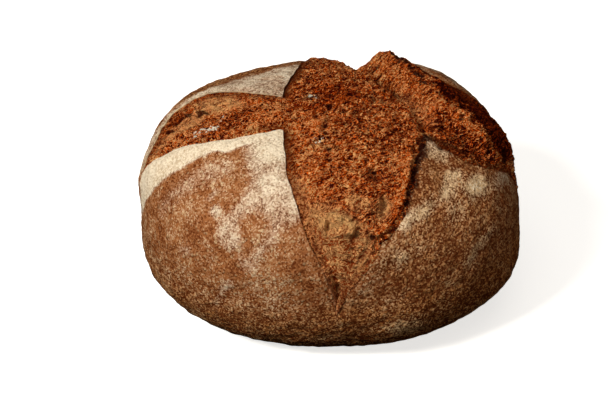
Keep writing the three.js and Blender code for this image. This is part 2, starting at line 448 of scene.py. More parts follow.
@dataclass(frozen=True)
class Burst:
    """The cross that burst open: its outline, and the cutter that opens the crust."""

    form: LoafForm
    edges: tuple[BurstEdge, ...] = BURST_EDGES
    edge_steps: int = 52
    tear_length: float = 9.0
    tear_fade: float = 1 / 6
    edge_core: float = 1.0
    edge_falloff: float = 4.0
    cutter_reach: float = 2.6
    cone_radius: float = 1.0

    def edge_points(self, edge: BurstEdge) -> Array:
        """One edge's points, which stray from its smooth line as a tear does.

        Args:
            edge: The edge.

        Returns:
            Its points, one a row.
        """
        curve = spline(edge.through, self.edge_steps)
        tangent = np.gradient(curve, axis=0)
        tangent /= np.linalg.norm(tangent, axis=1, keepdims=True)
        share = np.linspace(0.0, 1.0, self.edge_steps + 1)
        flat = np.column_stack([curve, np.zeros(len(curve))])
        fade = np.minimum(1.0, np.minimum(share, 1 - share) / self.tear_fade)
        away = edge.tear * bumps(flat, self.tear_length, Layer.TEAR) * fade
        return curve + away[:, None] * np.column_stack([-tangent[:, 1], tangent[:, 0]])

    @cached_property
    def lines(self) -> tuple[Array, ...]:
        """The points of every edge."""
        return tuple(self.edge_points(edge) for edge in self.edges)

    @cached_property
    def outline(self) -> Array:
        """The closed outline of the whole burst, anticlockwise."""
        return np.concatenate([line[:-1] for line in self.lines])

    def read(self, u: Array, v: Array) -> BurstReading:
        """Reads the burst at places on the loaf, each edge counting more the nearer it is.

        Args:
            u: Tape to the right.
            v: Tape to the back.

        Returns:
            The depth inside the burst, below zero outside it, and the edges' own values.
        """
        depth = np.full(u.shape, np.inf)
        sums = np.zeros((len(self.edges[0].pairs), *u.shape))
        total = np.zeros(u.shape)
        for edge, line in zip(self.edges, self.lines):
            distance, along, _ = nearest_on_line(u, v, line)
            weight = (distance + self.edge_core) ** -self.edge_falloff
            share = along / self.edge_steps
            depth = np.minimum(depth, distance)
            sums += weight * np.stack([start + (end - start) * share for start, end in edge.pairs])
            total += weight
        depth = np.where(is_inside(u, v, self.outline), depth, -depth)
        return BurstReading(depth, *(sums / total))

    def cutter(self) -> bpy.types.Object:
        """Makes the cone that opens the crust.

        Returns:
            A cone from the loaf's heart out through the burst's outline, well past the crust.
        """
        count = len(self.outline)
        bpy.ops.object.select_all(action="DESELECT")
        bpy.ops.mesh.primitive_cone_add(
            vertices=count, radius1=self.cone_radius, radius2=0.0, depth=1.0, end_fill_type="NGON"
        )
        cone = bpy.context.active_object
        cone.name = "burst_cutter"
        spots = mesh_spots(cone)
        is_tip = np.hypot(spots[:, 0], spots[:, 1]) < self.cone_radius / 2
        turn = np.arctan2(spots[:, 1], spots[:, 0])
        order = np.argsort(turn[~is_tip])
        rim = self.form.place(self.outline[:, 0], self.outline[:, 1])
        placed = np.empty_like(spots)
        placed[is_tip] = self.form.heart
        around = np.empty((count, 3))
        around[order] = self.form.heart + (rim - self.form.heart) * self.cutter_reach
        placed[~is_tip] = around
        write_spots(cone, placed)
        bpy.ops.object.mode_set(mode="EDIT")
        bpy.ops.mesh.select_all(action="SELECT")
        bpy.ops.mesh.quads_convert_to_tris(quad_method="BEAUTY", ngon_method="BEAUTY")
        bpy.ops.mesh.normals_make_consistent(inside=False)
        bpy.ops.object.mode_set(mode="OBJECT")
        return cone


def mesh_spots(piece: bpy.types.Object) -> Array:
    """The vertices of a mesh.

    Args:
        piece: The object that has the mesh.

    Returns:
        Points as the mesh holds them, one a row.
    """
    flat = np.empty(3 * len(piece.data.vertices))
    piece.data.vertices.foreach_get("co", flat)
    return flat.reshape(-1, 3)


def write_spots(piece: bpy.types.Object, spots: Array) -> None:
    """Moves every vertex of a mesh."""
    piece.data.vertices.foreach_set("co", spots.ravel())
    piece.data.update()


def write_attribute(piece: bpy.types.Object, name: str, values: Array) -> None:
    """Writes one number for each vertex, for the materials to read."""
    held = piece.data.attributes.new(name, "FLOAT", "POINT")
    held.data.foreach_set("value", values.astype(np.float32))


def write_places(piece: bpy.types.Object, name: str, places: Array) -> None:
    """Writes one place for each vertex, for the materials to read."""
    held = piece.data.attributes.new(name, "FLOAT_VECTOR", "POINT")
    held.data.foreach_set("vector", places.astype(np.float32).ravel())


def join(piece: bpy.types.Object, other: bpy.types.Object, way: Join) -> None:
    """Joins another solid to a piece by a Boolean, and deletes the other.

    Args:
        piece: The solid that stays.
        other: The solid that is cut out of it or added to it.
        way: Which of the two.
    """
    bpy.ops.object.select_all(action="DESELECT")
    bpy.context.view_layer.objects.active = piece
    piece.select_set(True)
    modifier = piece.modifiers.new(way.name.lower(), "BOOLEAN")
    modifier.operation = way.value
    modifier.solver = "MANIFOLD"
    modifier.material_mode = "TRANSFER"
    modifier.object = other
    bpy.ops.object.modifier_apply(modifier=modifier.name)
    bpy.data.objects.remove(other, do_unlink=True)


@dataclass(frozen=True)
class WrappedSkin:
    """A closed skin wrapped round the loaf from a ball, finer where it matters."""

    form: LoafForm
    name: str
    ball_subdivisions: int
    finer_cuts: int = 0

    def build(self, lift_at: ReadAt, is_finer: ReadAt | None = None) -> bpy.types.Object:
        """Makes the skin.

        Args:
            lift_at: The rise above the unburst crust at (u, v).
            is_finer: Whether the mesh is cut finer at (u, v), if it is anywhere.

        Returns:
            The skin's object, in millimetres.
        """
        bpy.ops.object.select_all(action="DESELECT")
        bpy.ops.mesh.primitive_ico_sphere_add(subdivisions=self.ball_subdivisions, radius=1.0)
        ball = bpy.context.active_object
        ball.name = self.name
        if is_finer:
            self.cut_finer(ball, is_finer)
        u, v = self.tape_measure(mesh_spots(ball))
        write_spots(ball, self.form.place(u, v, lift_at(u, v)))
        return ball

    def tape_measure(self, spots: Array) -> tuple[Array, Array]:
        """The tape measure that each point of the ball is wrapped to.

        Args:
            spots: Points of the ball, one a row.

        Returns:
            The tape to the right and to the back.
        """
        down = spots[:, 2] / np.linalg.norm(spots, axis=1)
        tape = np.arccos(down.clip(-1.0, 1.0)) / math.pi * self.form.tape_length
        turn = np.arctan2(spots[:, 1], spots[:, 0])
        return tape * np.cos(turn), tape * np.sin(turn)

    def cut_finer(self, ball: bpy.types.Object, is_finer: ReadAt) -> None:
        """Subdivides the ball's faces where the mesh is to be finer.

        Args:
            ball: The ball before it is wrapped.
            is_finer: Whether the mesh is cut finer at (u, v).
        """
        faces = ball.data.polygons
        centres = np.empty(3 * len(faces))
        faces.foreach_get("center", centres)
        chosen = is_finer(*self.tape_measure(centres.reshape(-1, 3)))
        bpy.context.tool_settings.mesh_select_mode = (False, False, True)
        bpy.ops.object.mode_set(mode="EDIT")
        bpy.ops.mesh.select_all(action="DESELECT")
        bpy.ops.object.mode_set(mode="OBJECT")
        faces.foreach_set("select", chosen)
        bpy.ops.object.mode_set(mode="EDIT")
        bpy.ops.mesh.subdivide(number_cuts=self.finer_cuts)
        bpy.ops.mesh.select_all(action="SELECT")
        bpy.ops.mesh.quads_convert_to_tris()
        bpy.ops.object.mode_set(mode="OBJECT")


@dataclass(frozen=True)
class Pattern:
    """A noise of the materials: the distance between its lumps, in millimetres, and how they break up."""

    length: float
    detail: float
    roughness: float
    distortion: float = 0.0


class Value:
    """A shader socket that takes part in arithmetic, each step of which adds a Math node."""

    def __init__(self, shader: "Shader", socket: bpy.types.NodeSocket) -> None:
        """Wraps a socket of the shader's tree."""
        self.shader = shader
        self.socket = socket

    def _math(self, operation: str, first: Any, second: Any) -> "Value":
        """The result of one Math node."""
        return self.shader.node("ShaderNodeMath", {"operation": operation}, {0: first, 1: second})

    def __add__(self, other: Any) -> "Value":
        """Self plus other."""
        return self._math("ADD", self, other)

    __radd__ = __add__

    def __sub__(self, other: Any) -> "Value":
        """Self minus other."""
        return self._math("SUBTRACT", self, other)

    def __rsub__(self, other: Any) -> "Value":
        """Other minus self."""
        return self._math("SUBTRACT", other, self)

    def __mul__(self, other: Any) -> "Value":
        """Self times other."""
        return self._math("MULTIPLY", self, other)

    __rmul__ = __mul__

    def size(self) -> "Value":
        """Self without its sign."""
        return self.shader.node("ShaderNodeMath", {"operation": "ABSOLUTE"}, {0: self})

    def centred(self) -> "Value":
        """Self, from 0 to 1, brought about zero."""
        return self - 0.5

    def steps(self, low: float, high: float) -> "Value":
        """A smooth rise from 0 to 1 as self goes from low to high."""
        inputs = {"Value": self, "From Min": low, "From Max": high}
        return self.shader.node("ShaderNodeMapRange", {"interpolation_type": "SMOOTHSTEP"}, inputs)


class Blend:
    """Shares of named patterns that are summed in the order they are given."""

    def __init__(self, **shares: float) -> None:
        """Keeps the shares by the patterns' names."""
        self.shares = shares

    def of(self, patterns: dict[str, Value]) -> Value:
        """The sum of a material's patterns by their shares."""
        first, *others = [patterns[name] * share for name, share in self.shares.items()]
        return sum(others, first)


class Shader:
    """A material that is built node by node."""

    def __init__(self, name: str) -> None:
        """Starts a material with a Principled shader."""
        self.material = bpy.data.materials.new(name)
        self.material.use_nodes = True
        self.tree = self.material.node_tree
        self.principled = self.tree.nodes["Principled BSDF"]
        self.place = self.node("ShaderNodeTexCoord", {}, {}, "Object")

    def node(
        self, kind: str, settings: dict[str, Any], inputs: dict[Any, Any], output: Any = 0
    ) -> Value:
        """Adds any node.

        Args:
            kind: The node's type.
            settings: Its own settings, which are set first.
            inputs: Values or links of its sockets.
            output: Which of its outputs is wanted.

        Returns:
            That output.
        """
        made = self.tree.nodes.new(kind)
        for name, setting in settings.items():
            setattr(made, name, setting)
        for name, given in inputs.items():
            self.feed(made.inputs[name], given)
        return Value(self, made.outputs[output])

    def feed(self, socket: bpy.types.NodeSocket, given: Any) -> None:
        """Links a value to a socket, or sets the socket to a number or colour.

        Args:
            socket: The socket.
            given: What it gets.
        """
        if isinstance(given, Value):
            self.tree.links.new(given.socket, socket)
        elif isinstance(given, Tone):
            socket.default_value = given.linear
        else:
            socket.default_value = given

    def fibres(self, turn: float, stretch: float) -> Value:
        """Places pulled along one way of the plan, so that a pattern on them runs that way."""
        inputs = {"Vector": self.place, "Rotation": (0.0, 0.0, turn), "Scale": (stretch, 1.0, 1.0)}
        return self.node("ShaderNodeMapping", {"vector_type": "TEXTURE"}, inputs)

    def noise(self, pattern: Pattern, place: Value | None = None) -> Value:
        """Noise from 0 to 1.

        Args:
            pattern: Its lumps.
            place: The places that it reads, if not the piece's own.

        Returns:
            The noise's value.
        """
        inputs = {
            "Vector": place or self.place,
            "Scale": 1 / (pattern.length * MILLIMETRE),
            "Detail": pattern.detail,
            "Roughness": pattern.roughness,
            "Distortion": pattern.distortion,
        }
        return self.node("ShaderNodeTexNoise", {}, inputs)

    def cells(self, length: float) -> Value:
        """The distance from the middle of the nearest of many cells about one length, in millimetres."""
        inputs = {"Vector": self.place, "Scale": 1 / (length * MILLIMETRE)}
        return self.node("ShaderNodeTexVoronoi", {}, inputs)

    def specks(self, length: float) -> Value:
        """A chance value from 0 to 1 for each of many specks about one length, in millimetres, wide."""
        inputs = {"Vector": self.place, "Scale": 1 / (length * MILLIMETRE)}
        return self.node("ShaderNodeTexVoronoi", {}, inputs, "Color")

    def distance(self, place: Value, point: Rise) -> Value:
        """How far a place is from a point."""
        return self.node("ShaderNodeVectorMath", {"operation": "DISTANCE"}, {0: place, 1: point}, "Value")

    def attribute(self, name: str) -> Value:
        """A number that the mesh holds at each vertex."""
        return self.node("ShaderNodeAttribute", {"attribute_name": name}, {}, "Fac")

    def mix(self, share: Value, low: Value | Tone, high: Value | Tone) -> Value:
        """A colour between two colours."""
        return self.node("ShaderNodeMix", {"data_type": "RGBA"}, {0: share, 6: low, 7: high}, 2)

    def layers(self, first: Value | Tone, *others: tuple[Value, Value | Tone]) -> Value:
        """A colour with others laid over it in turn.

        Args:
            first: The colour under all the others.
            others: The share and the colour of each layer.

        Returns:
            The colour that shows.
        """
        colour = first
        for share, over in others:
            colour = self.mix(share, colour, over)
        return colour

    def bump(self, height: Value, distance: float) -> Value:
        """A normal bent by a height, given the height's full rise in millimetres."""
        inputs = {"Height": height, "Distance": distance * MILLIMETRE, "Strength": 1.0}
        return self.node("ShaderNodeBump", {}, inputs)

    def finish(self, inputs: dict[str, Any]) -> bpy.types.Material:
        """Feeds the Principled shader.

        Args:
            inputs: Values, links or colours of its sockets.

        Returns:
            The material.
        """
        for name, given in inputs.items():
            self.feed(self.principled.inputs[name], given)
        return self.material


@dataclass(frozen=True)
class CharFinish:
    """Burnt bread: black flecked with ash, with an edge that wanders."""

    black: Tone
    ash: Tone
    wander: Blend
    flecks: Blend
    fleck_span: Span
    wander_span: Span = (0.0, 0.25)
    edge_span: Span = (0.3, 0.6)

    def layer(self, shader: Shader, patterns: dict[str, Value]) -> tuple[Value, Value]:
        """The burnt layer of a material.

        Args:
            shader: The material that is being built.
            patterns: Its patterns by name.

        Returns:
            How far each place is burnt, and its colour there.
        """
        edge = shader.attribute("char")
        char = edge + self.wander.of(patterns) * edge.steps(*self.wander_span)
        burnt = shader.mix(self.flecks.of(patterns).steps(*self.fleck_span), self.black, self.ash)
        return char.steps(*self.edge_span), burnt


@dataclass(frozen=True)
class CrustFinish:
    """Browned crust with pinhead blisters, dusted with flour."""

    dark_brown: Tone = Tone(82, 34, 9)
    deep_brown: Tone = Tone(98, 46, 18)
    red_brown: Tone = Tone(156, 98, 57)
    blister_tan: Tone = Tone(208, 172, 128)
    flour_cream: Tone = Tone(238, 223, 199)
    flour_shade: Tone = Tone(199, 174, 142)
    baked_tan: Tone = Tone(196, 129, 68)
    flour_tan: Tone = Tone(230, 188, 132)
    mottle: Pattern = Pattern(22, 4, 0.6)
    clump: Pattern = Pattern(8, 5, 0.7)
    blister: Pattern = Pattern(2.4, 3, 0.65)
    grain_length: float = 0.85
    pimple_length: float = 3.6
    pimple_size: float = 0.3
    pimple_blend: Blend = Blend(clump=0.9, bake=0.1)
    pimple_span: Span = (0.0, 0.14)
    fine_blend: Blend = Blend(grain=1.5, blister=0.7)
    fine_unbaked: float = 0.65
    fine_baked: float = 2.0
    spot_blend: Blend = Blend(fine=1.0, mottle=1.1, clump=0.5)
    brown_span: Span = (-0.45, 0.12)
    tan_span: Span = (0.08, 0.6)
    tan_spots: float = 0.75
    tan_pimples: float = 0.45
    tan_lost_to_bake: float = 0.3
    bake_span: Span = (0.0, 0.5)
    grain_unbaked: float = 0.6
    grain_baked: float = 1.5
    dust_blend: Blend = Blend(dusty_grain=1.0, blister=0.3, clump=1.2, mottle=0.9)
    flour_strength: float = 1.5
    flour_loss: float = 0.25
    flour_span: Span = (-0.1, 1.2)
    white_span: Span = (-0.55, 0.35)
    thick_span: Span = (0.9, 1.6)
    thin_tint: float = 0.8
    thick_tint_loss: float = 0.6
    rough_span: Span = (0.0, 1.0)
    bare_roughness: float = 0.6
    floured_roughness: float = 0.25
    height_blend: Blend = Blend(blister=0.7, clump=0.4, pimple=0.25)
    bump_height: float = 1.4
    gloss: float = 0.04
    char: CharFinish = CharFinish(
        Tone(50, 20, 8), Tone(138, 108, 84), Blend(clump=1.6, blister=1.4, grain=0.4),
        flecks=Blend(grain=1.0, blister=1.0), fleck_span=(0.1, 0.45),
    )

    def patterns(self, shader: Shader) -> dict[str, Value]:
        """The crust's patterns by name.

        Args:
            shader: The material that is being built.

        Returns:
            The patterns, and the bake that the mesh holds.
        """
        on = {
            "mottle": shader.noise(self.mottle).centred(),
            "clump": shader.noise(self.clump).centred(),
            "blister": shader.noise(self.blister).centred(),
            "grain": shader.specks(self.grain_length).centred(),
            "bake": shader.attribute("bake"),
        }
        swelling = self.pimple_size + self.pimple_blend.of(on) - shader.cells(self.pimple_length)
        on["pimple"] = swelling.steps(*self.pimple_span)
        on["fine"] = self.fine_blend.of(on) * (on["bake"] * self.fine_baked + self.fine_unbaked)
        on["dusty_grain"] = on["grain"] * (on["bake"] * self.grain_baked + self.grain_unbaked)
        return on

    def material(self) -> bpy.types.Material:
        """Makes the crust's material.

        Returns:
            The material.
        """
        shader = Shader("floured_crust")
        on = self.patterns(shader)
        bake = on["bake"]
        spots = self.spot_blend.of(on)
        well_baked = bake.steps(*self.bake_span)
        tan = spots.steps(*self.tan_span) * self.tan_spots + on["pimple"] * self.tan_pimples
        flour = shader.attribute("flour") * self.flour_strength - self.flour_loss + self.dust_blend.of(on)
        thin = well_baked * (self.thin_tint - flour.steps(*self.thick_span) * self.thick_tint_loss)
        white = shader.mix(spots.steps(*self.white_span), self.flour_shade, self.flour_cream)
        colour = shader.layers(
            self.deep_brown,
            (spots.steps(*self.brown_span), self.red_brown),
            (bake, self.dark_brown),
            (
                tan * (1.0 - bake * self.tan_lost_to_bake),
                shader.mix(well_baked, self.blister_tan, self.baked_tan),
            ),
            (flour.steps(*self.flour_span), shader.mix(thin, white, self.flour_tan)),
            self.char.layer(shader, on),
        )
        return shader.finish({
            "Base Color": colour,
            "Roughness": flour.steps(*self.rough_span) * self.floured_roughness + self.bare_roughness,
            "Normal": shader.bump(self.height_blend.of(on), self.bump_height),
            "Specular IOR Level": self.gloss,
        })


@dataclass(frozen=True)
class GasHole:
    """An open gas hole in the crumb."""

    at: Spot
    radius: float
    depth: float


def gas_holes(*spots: Rise, depth: float) -> tuple[GasHole, ...]:
    """Gas holes of one depth, each from its place and its radius."""
    return tuple(GasHole((u, v), radius, depth) for u, v, radius in spots)


@dataclass(frozen=True)
class CrumbFinish:
    """Torn crumb that baked open: brown crumb and orange strands, with pits, holes and creases painted dark
    as shade and crests painted pale as highlight.
    """

    # The darkest crumb tone, which is also painted into holes, creases and cells as shade.
    pit_and_shade_brown: Tone = Tone(46, 4, 0)
    crumb_brown: Tone = Tone(130, 29, 2)
    strand_orange: Tone = Tone(224, 95, 19)
    crest_and_highlight_tan: Tone = Tone(255, 196, 126)
    pale_tan: Tone = Tone(255, 198, 130)
    pale_brown: Tone = Tone(164, 66, 16)
    shade_brown: Tone = Tone(92, 36, 8)
    rim_cream: Tone = Tone(236, 212, 172)
    bevel_pink: Tone = Tone(186, 118, 78)
    # Flour white, which also paints glints on the crumb.
    flour_cream: Tone = Tone(252, 242, 222)
    grain: Pattern = Pattern(1.6, 1, 0.6)
    clump: Pattern = Pattern(7, 3, 0.6)
    fold: Pattern = Pattern(12, 2, 0.5, 1.0)
    swirl: Pattern = Pattern(3.8, 2, 0.55, 2.0)
    curl: Pattern = Pattern(2.5, 2, 0.55, 2.5)
    gap: Pattern = Pattern(1.9, 2, 0.6, 1.0)
    speck_length: float = 1.0
    swirl_span: Span = (0.0, 0.1)
    curl_span: Span = (0.0, 0.12)
    curl_share: float = 0.8
    gap_span: Span = (0.54, 0.66)
    fine_blend: Blend = Blend(grain=1.5, speck=0.8, strand=1.7, gap=-0.9)
    rough_blend: Blend = Blend(relief=1.2, calmed=1.0, clump=0.4, fold=1.7)
    rough_loss: float = 0.83
    deep_and_shade_loss: float = 0.42
    calm_share: float = 0.5
    bright_and_lit_gain: float = 0.3
    brown_span: Span = (-0.5, 0.0)
    orange_span: Span = (-0.02, 0.45)
    crest_span: Span = (0.85, 1.6)
    pale_span: Span = (-0.5, 0.4)
    under_span: Span = (0.3, 1.0)
    full_span: Span = (0.0, 1.0)
    shade_share: float = 0.9
    hole_shade_share: float = 0.8
    mouth_core: float = 0.6
    mouth_edge: float = 1.15
    mouth_wander: float = 1.6
    mouth_shade_share: float = 0.88
    bevel_span: Span = (0.3, 0.7)
    dust_length: float = 1.4
    dust_relief: float = 0.15
    dust_span: Span = (0.52, 0.6)
    base_roughness: float = 0.42
    grain_roughness: float = 0.6
    height_blend: Blend = Blend(grain=0.7, strand=0.5, clump=0.3)
    bump_height: float = 1.3
    gloss: float = 0.05
    char: CharFinish = CharFinish(
        Tone(50, 13, 4), Tone(122, 82, 58), Blend(clump=1.4, grain=0.8),
        flecks=Blend(speck=1.0, grain=1.0), fleck_span=(0.3, 0.6),
    )

    def mouths(self, shader: Shader, holes: tuple[GasHole, ...], ragged: Value) -> Value:
        """How far each place lies in the mouth of a gas hole, from 0 to 1.

        Args:
            shader: The material that is being built.
            holes: The holes, by their places on the tape.
            ragged: How far the mouths' edges wander, in millimetres.

        Returns:
            The share of the painted shade in the hole's mouth.
        """
        tape = shader.node("ShaderNodeAttribute", {"attribute_name": "tape"}, {}, "Vector")
        walls = []
        for hole in holes:
            away = shader.distance(tape, (*hole.at, 0.0)) + ragged
            walls.append(away.steps(hole.radius * self.mouth_core, hole.radius * self.mouth_edge))
        return 1.0 - math.prod(walls)

    def patterns(self, shader: Shader) -> dict[str, Value]:
        """The crumb's patterns by name.

        Args:
            shader: The material that is being built.

        Returns:
            The patterns, and the relief that the mesh holds.
        """
        pulled = shader.fibres(TEAR_TURN, TEAR_STRETCH)
        swirl = shader.noise(self.swirl, pulled).centred().size()
        curl = shader.noise(self.curl, pulled).centred().size()
        curls = self.curl_share * (1.0 - curl.steps(*self.curl_span))
        on = {
            "grain": shader.noise(self.grain).centred(),
            "speck": shader.specks(self.speck_length).centred(),
            "clump": shader.noise(self.clump).centred(),
            "fold": shader.noise(self.fold, pulled).centred(),
            "strand": 1.0 - swirl.steps(*self.swirl_span) + curls,
            "gap": shader.noise(self.gap, pulled).steps(*self.gap_span),
            "relief": shader.attribute("relief").centred(),
        }
        calm = shader.attribute("calm") * self.calm_share
        on["calmed"] = self.fine_blend.of(on) * (1.0 - calm)
        return on

    def material(self, holes: tuple[GasHole, ...]) -> bpy.types.Material:
        """Makes the crumb's material.

        Args:
            holes: The gas holes, whose mouths are painted dark as shade.

        Returns:
            The material.
        """
        shader = Shader("torn_crumb")
        on = self.patterns(shader)
        # deep darkens crumb that baked deeper and, in other patches, paints shade on crumb turned from the
        # light.
        deep = shader.attribute("deep") * self.deep_and_shade_loss
        # The relief lightens raised crumb and darkens sunk crumb: partly the strands' own paler tone, partly
        # painted light and painted shade.
        rough = self.rough_blend.of(on) - self.rough_loss - deep
        # bright lightens torn orange crumb and paints light on faces turned to the lamps.
        light = rough + shader.attribute("bright_and_lit") * self.bright_and_lit_gain
        # Painted glints: the strands are lightened towards pale tan where glossy crumb would catch the light.
        painted_glint = shader.attribute("painted_glint") * on["strand"]
        rim = shader.attribute("rim") * (1.0 - shader.attribute("under").steps(*self.under_span))
        # Holes, creases and the mouths of the gas holes are painted dark: painted shade where the crumb
        # sinks.
        hollow = shader.attribute("hole") * self.hole_shade_share
        mouths = self.mouths(shader, holes, on["grain"] * self.mouth_wander)
        # White specks: flour dust in some patches, painted glints in others.
        dust = shader.attribute("dust") * shader.specks(self.dust_length) + on["relief"] * self.dust_relief
        colour = shader.layers(
            self.pit_and_shade_brown,
            (light.steps(*self.brown_span), self.crumb_brown),
            (light.steps(*self.orange_span), self.strand_orange),
            # Pale tan on the crests: partly the strands' own tone, partly painted highlight.
            ((rough + painted_glint).steps(*self.crest_span), self.crest_and_highlight_tan),
            (
                shader.attribute("pale"),
                shader.mix(light.steps(*self.pale_span), self.pale_brown, self.pale_tan),
            ),
            (shader.attribute("shade").steps(*self.full_span) * self.shade_share, self.shade_brown),
            (hollow.steps(*self.full_span), self.pit_and_shade_brown),
            (mouths * self.mouth_shade_share, self.pit_and_shade_brown),
            (shader.attribute("bevel").steps(*self.bevel_span), self.bevel_pink),
            (rim, self.rim_cream),
            (dust.steps(*self.dust_span), self.flour_cream),
            self.char.layer(shader, on),
        )
        return shader.finish({
            "Base Color": colour,
            "Roughness": on["grain"] * self.grain_roughness + self.base_roughness,
            "Normal": shader.bump(self.height_blend.of(on), self.bump_height),
            "Specular IOR Level": self.gloss,
        })


@dataclass(frozen=True)
class CrustForm:
    """A place where the crust is fuller or flatter than an even loaf."""

    name: str
    at: Spot
    reach: float
    rise: float


CRUST_FORMS = (
    CrustForm("full low on the right", (158, -82), reach=48, rise=2),
    CrustForm("full low at the front right", (72, -172), reach=30, rise=2),
    CrustForm("flat low at the front", (8, -196), reach=40, rise=-2),
    CrustForm("flat under the right arm", (134, -28), reach=26, rise=-2.4),
    CrustForm("flat under the left arm", (-146, -30), reach=30, rise=-1.6),
    CrustForm("full on the rear left flap", (-104, 46), reach=38, rise=2.2),
    CrustForm("lifted rear right flap", (60, 66), reach=28, rise=5.5),
)

FLOUR = (
    Patch("band along the left arm", feather=2.5, amount=1.1, outline=(
        (-135, -30), (-118, -22), (-98, -25), (-80, -30), (-56, -35), (-38, -33), (-22, -30), (-22, -40),
        (-45, -45), (-56.5, -48), (-62.5, -45), (-68, -46), (-84.5, -48), (-96, -47.5), (-111, -46.5),
        (-131, -41), (-140, -40))),
    Patch("cream beside the front arm", feather=5.0, amount=0.46, outline=(
        (-47, -46), (-36, -40), (-20, -31), (-18, -70), (-14, -95), (-12, -103), (-22.5, -105.5),
        (-27, -108), (-32, -113.5), (-38, -118), (-44, -122), (-49, -120.5), (-48, -117), (-43.5, -114),
        (-37.5, -109.5), (-34.5, -105), (-35.5, -99.5), (-40.5, -94.5), (-46, -94.5), (-50.5, -97.5),
        (-52.5, -102.5), (-51.5, -109), (-55.5, -112.5), (-62, -111), (-66, -106.5), (-67.5, -99),
        (-65, -93.5), (-59, -89.5), (-53, -86.5), (-49, -82), (-45.5, -78), (-44, -70), (-47, -61))),
    Patch("smooth cream at the corner", feather=7.0, amount=0.9, outline=(
        (-44, -44), (-22, -33), (-19, -60), (-34, -66), (-42, -58))),
    Patch("cream under the corner", feather=5.0, amount=0.58, outline=(
        (-46, -46), (-20, -31), (-18, -70), (-14, -96), (-28, -96), (-42, -84), (-44, -62))),
    Patch("spot left of it", feather=3.0, amount=0.6, outline=(
        (-69.5, -85.5), (-66.5, -82.5), (-62, -84.5), (-61.5, -89.5), (-66, -90.5))),
    Patch("cloud under it", feather=5.0, amount=0.36, outline=(
        (-55.5, -114.5), (-48, -116), (-43.5, -119.5), (-45, -126), (-55, -127.5), (-59, -121.5))),
    Patch("cloud on the left", feather=4.0, amount=0.34, outline=(
        (-98.5, -92), (-87.5, -96.5), (-90.5, -103), (-103, -99))),
    Patch("small streak under the band", feather=2.5, amount=0.5, outline=(
        (-71, -77.5), (-64.5, -72), (-61.5, -74.5), (-68, -80))),
    Patch("low streak on the left", feather=3.5, amount=0.42, outline=(
        (-90, -140), (-70, -132), (-64, -128), (-66, -126), (-72, -127), (-90, -135))),
    Patch("tan under the band", feather=8.0, amount=0.32, outline=(
        (-108, -56), (-80, -52), (-54, -52), (-52, -66), (-80, -70), (-108, -72))),
    Patch("cream at the corner", feather=3.5, amount=0.55, outline=(
        (48, -38), (55.5, -38), (61, -43), (67, -47.5), (63.5, -55), (57, -56), (51, -52))),
    Patch("column beside it", feather=4.0, amount=0.55, outline=(
        (63, -60), (70.5, -53.5), (74, -57), (73, -66.5), (70.5, -77), (65.5, -82), (60, -81),
        (62, -70.5))),
    Patch("white spot on the right", feather=7.0, amount=1.2, outline=(
        (76, -68.5), (78, -61.5), (84.5, -54), (90, -55.5), (89, -63), (81.5, -70))),
    Patch("streak beside the white spot", feather=5.0, amount=0.45, outline=(
        (90, -52), (105, -33), (114, -27), (115.5, -35), (101, -54), (90.5, -64))),
    Patch("streak beside the front arm", feather=3.5, amount=0.65, outline=(
        (37, -105), (38, -97), (44, -92), (49.5, -86.5), (56, -81.5), (62, -83), (57, -91), (50.5, -98),
        (44, -103))),
    Patch("spot under it", feather=4.0, amount=0.45, outline=(
        (37, -123), (39, -116.5), (45.5, -114.5), (50, -119.5), (45.5, -127), (40, -128))),
    Patch("smaller spot", feather=3.5, amount=0.36, outline=(
        (50, -110.5), (56, -109), (57, -114.5), (51, -115.5))),
    Patch("speckle under the column", feather=6.0, amount=0.32, outline=(
        (61.5, -84), (69.5, -77.5), (78, -74.5), (80.5, -81.5), (74.5, -92.5), (66.5, -95.5))),
    Patch("drift on the right", feather=4.0, amount=0.42, outline=(
        (88, -100.5), (92.5, -90.5), (96.5, -82), (101.5, -75.5), (106.5, -78), (101.5, -88.5),
        (97.5, -100), (94, -109), (87, -110.5))),
    Patch("low dust at the front right", feather=5.0, amount=0.5, outline=(
        (44.5, -166), (53, -157), (71.5, -152), (88, -153), (76, -165), (61, -171))),
    Patch("rear left flap", feather=3.0, amount=0.6, outline=(
        (-20, 6), (-46, 8), (-70, 15), (-95, 8), (-128, -24), (-131, -14), (-118, 0), (-109, 9), (-98, 20),
        (-88, 26), (-80, 30), (-70, 33.5), (-60, 40), (-46, 47), (-30, 56), (-14, 66), (-14, 52))),
    Patch("rear right flap", feather=10.0, amount=0.6, outline=(
        (40, 62), (70, 50), (100, 50), (132, 34), (128, 84), (80, 120), (36, 118))),
    Patch("back drift", feather=12.0, amount=0.42, outline=(
        (-60, 130), (-10, 138), (30, 150), (70, 134), (60, 164), (-20, 176))),
)


BAKED = (
    Patch("beside the burnt edge", feather=3.0, amount=0.5, outline=(
        (49.5, -39), (51.5, -44), (50, -60), (47.5, -78.5), (44, -92), (39.5, -103.5), (36.5, -107.5),
        (33, -106), (36, -96), (39, -84), (41, -67), (44, -50.5))),
    Patch("right side", feather=30.0, amount=0.32, outline=(
        (70, -90), (110, -50), (150, -20), (190, -60), (150, -140), (80, -170), (30, -170))),
    Patch("back of the left flap", feather=5.0, amount=0.6, outline=(
        (-138, -10), (-118, 4), (-109, 13), (-98, 24), (-88, 30), (-70, 38), (-46, 52), (-14, 72),
        (-20, 120), (-150, 80))),
    Patch("beside the front point", feather=14.0, amount=0.25, outline=(
        (-10, -160), (30, -130), (40, -110), (60, -130), (30, -175))),
    Patch("front right flap", feather=14.0, amount=0.36, outline=(
        (44, -40), (100, -44), (112, -80), (92, -130), (52, -150), (25, -130), (38, -100))),
)


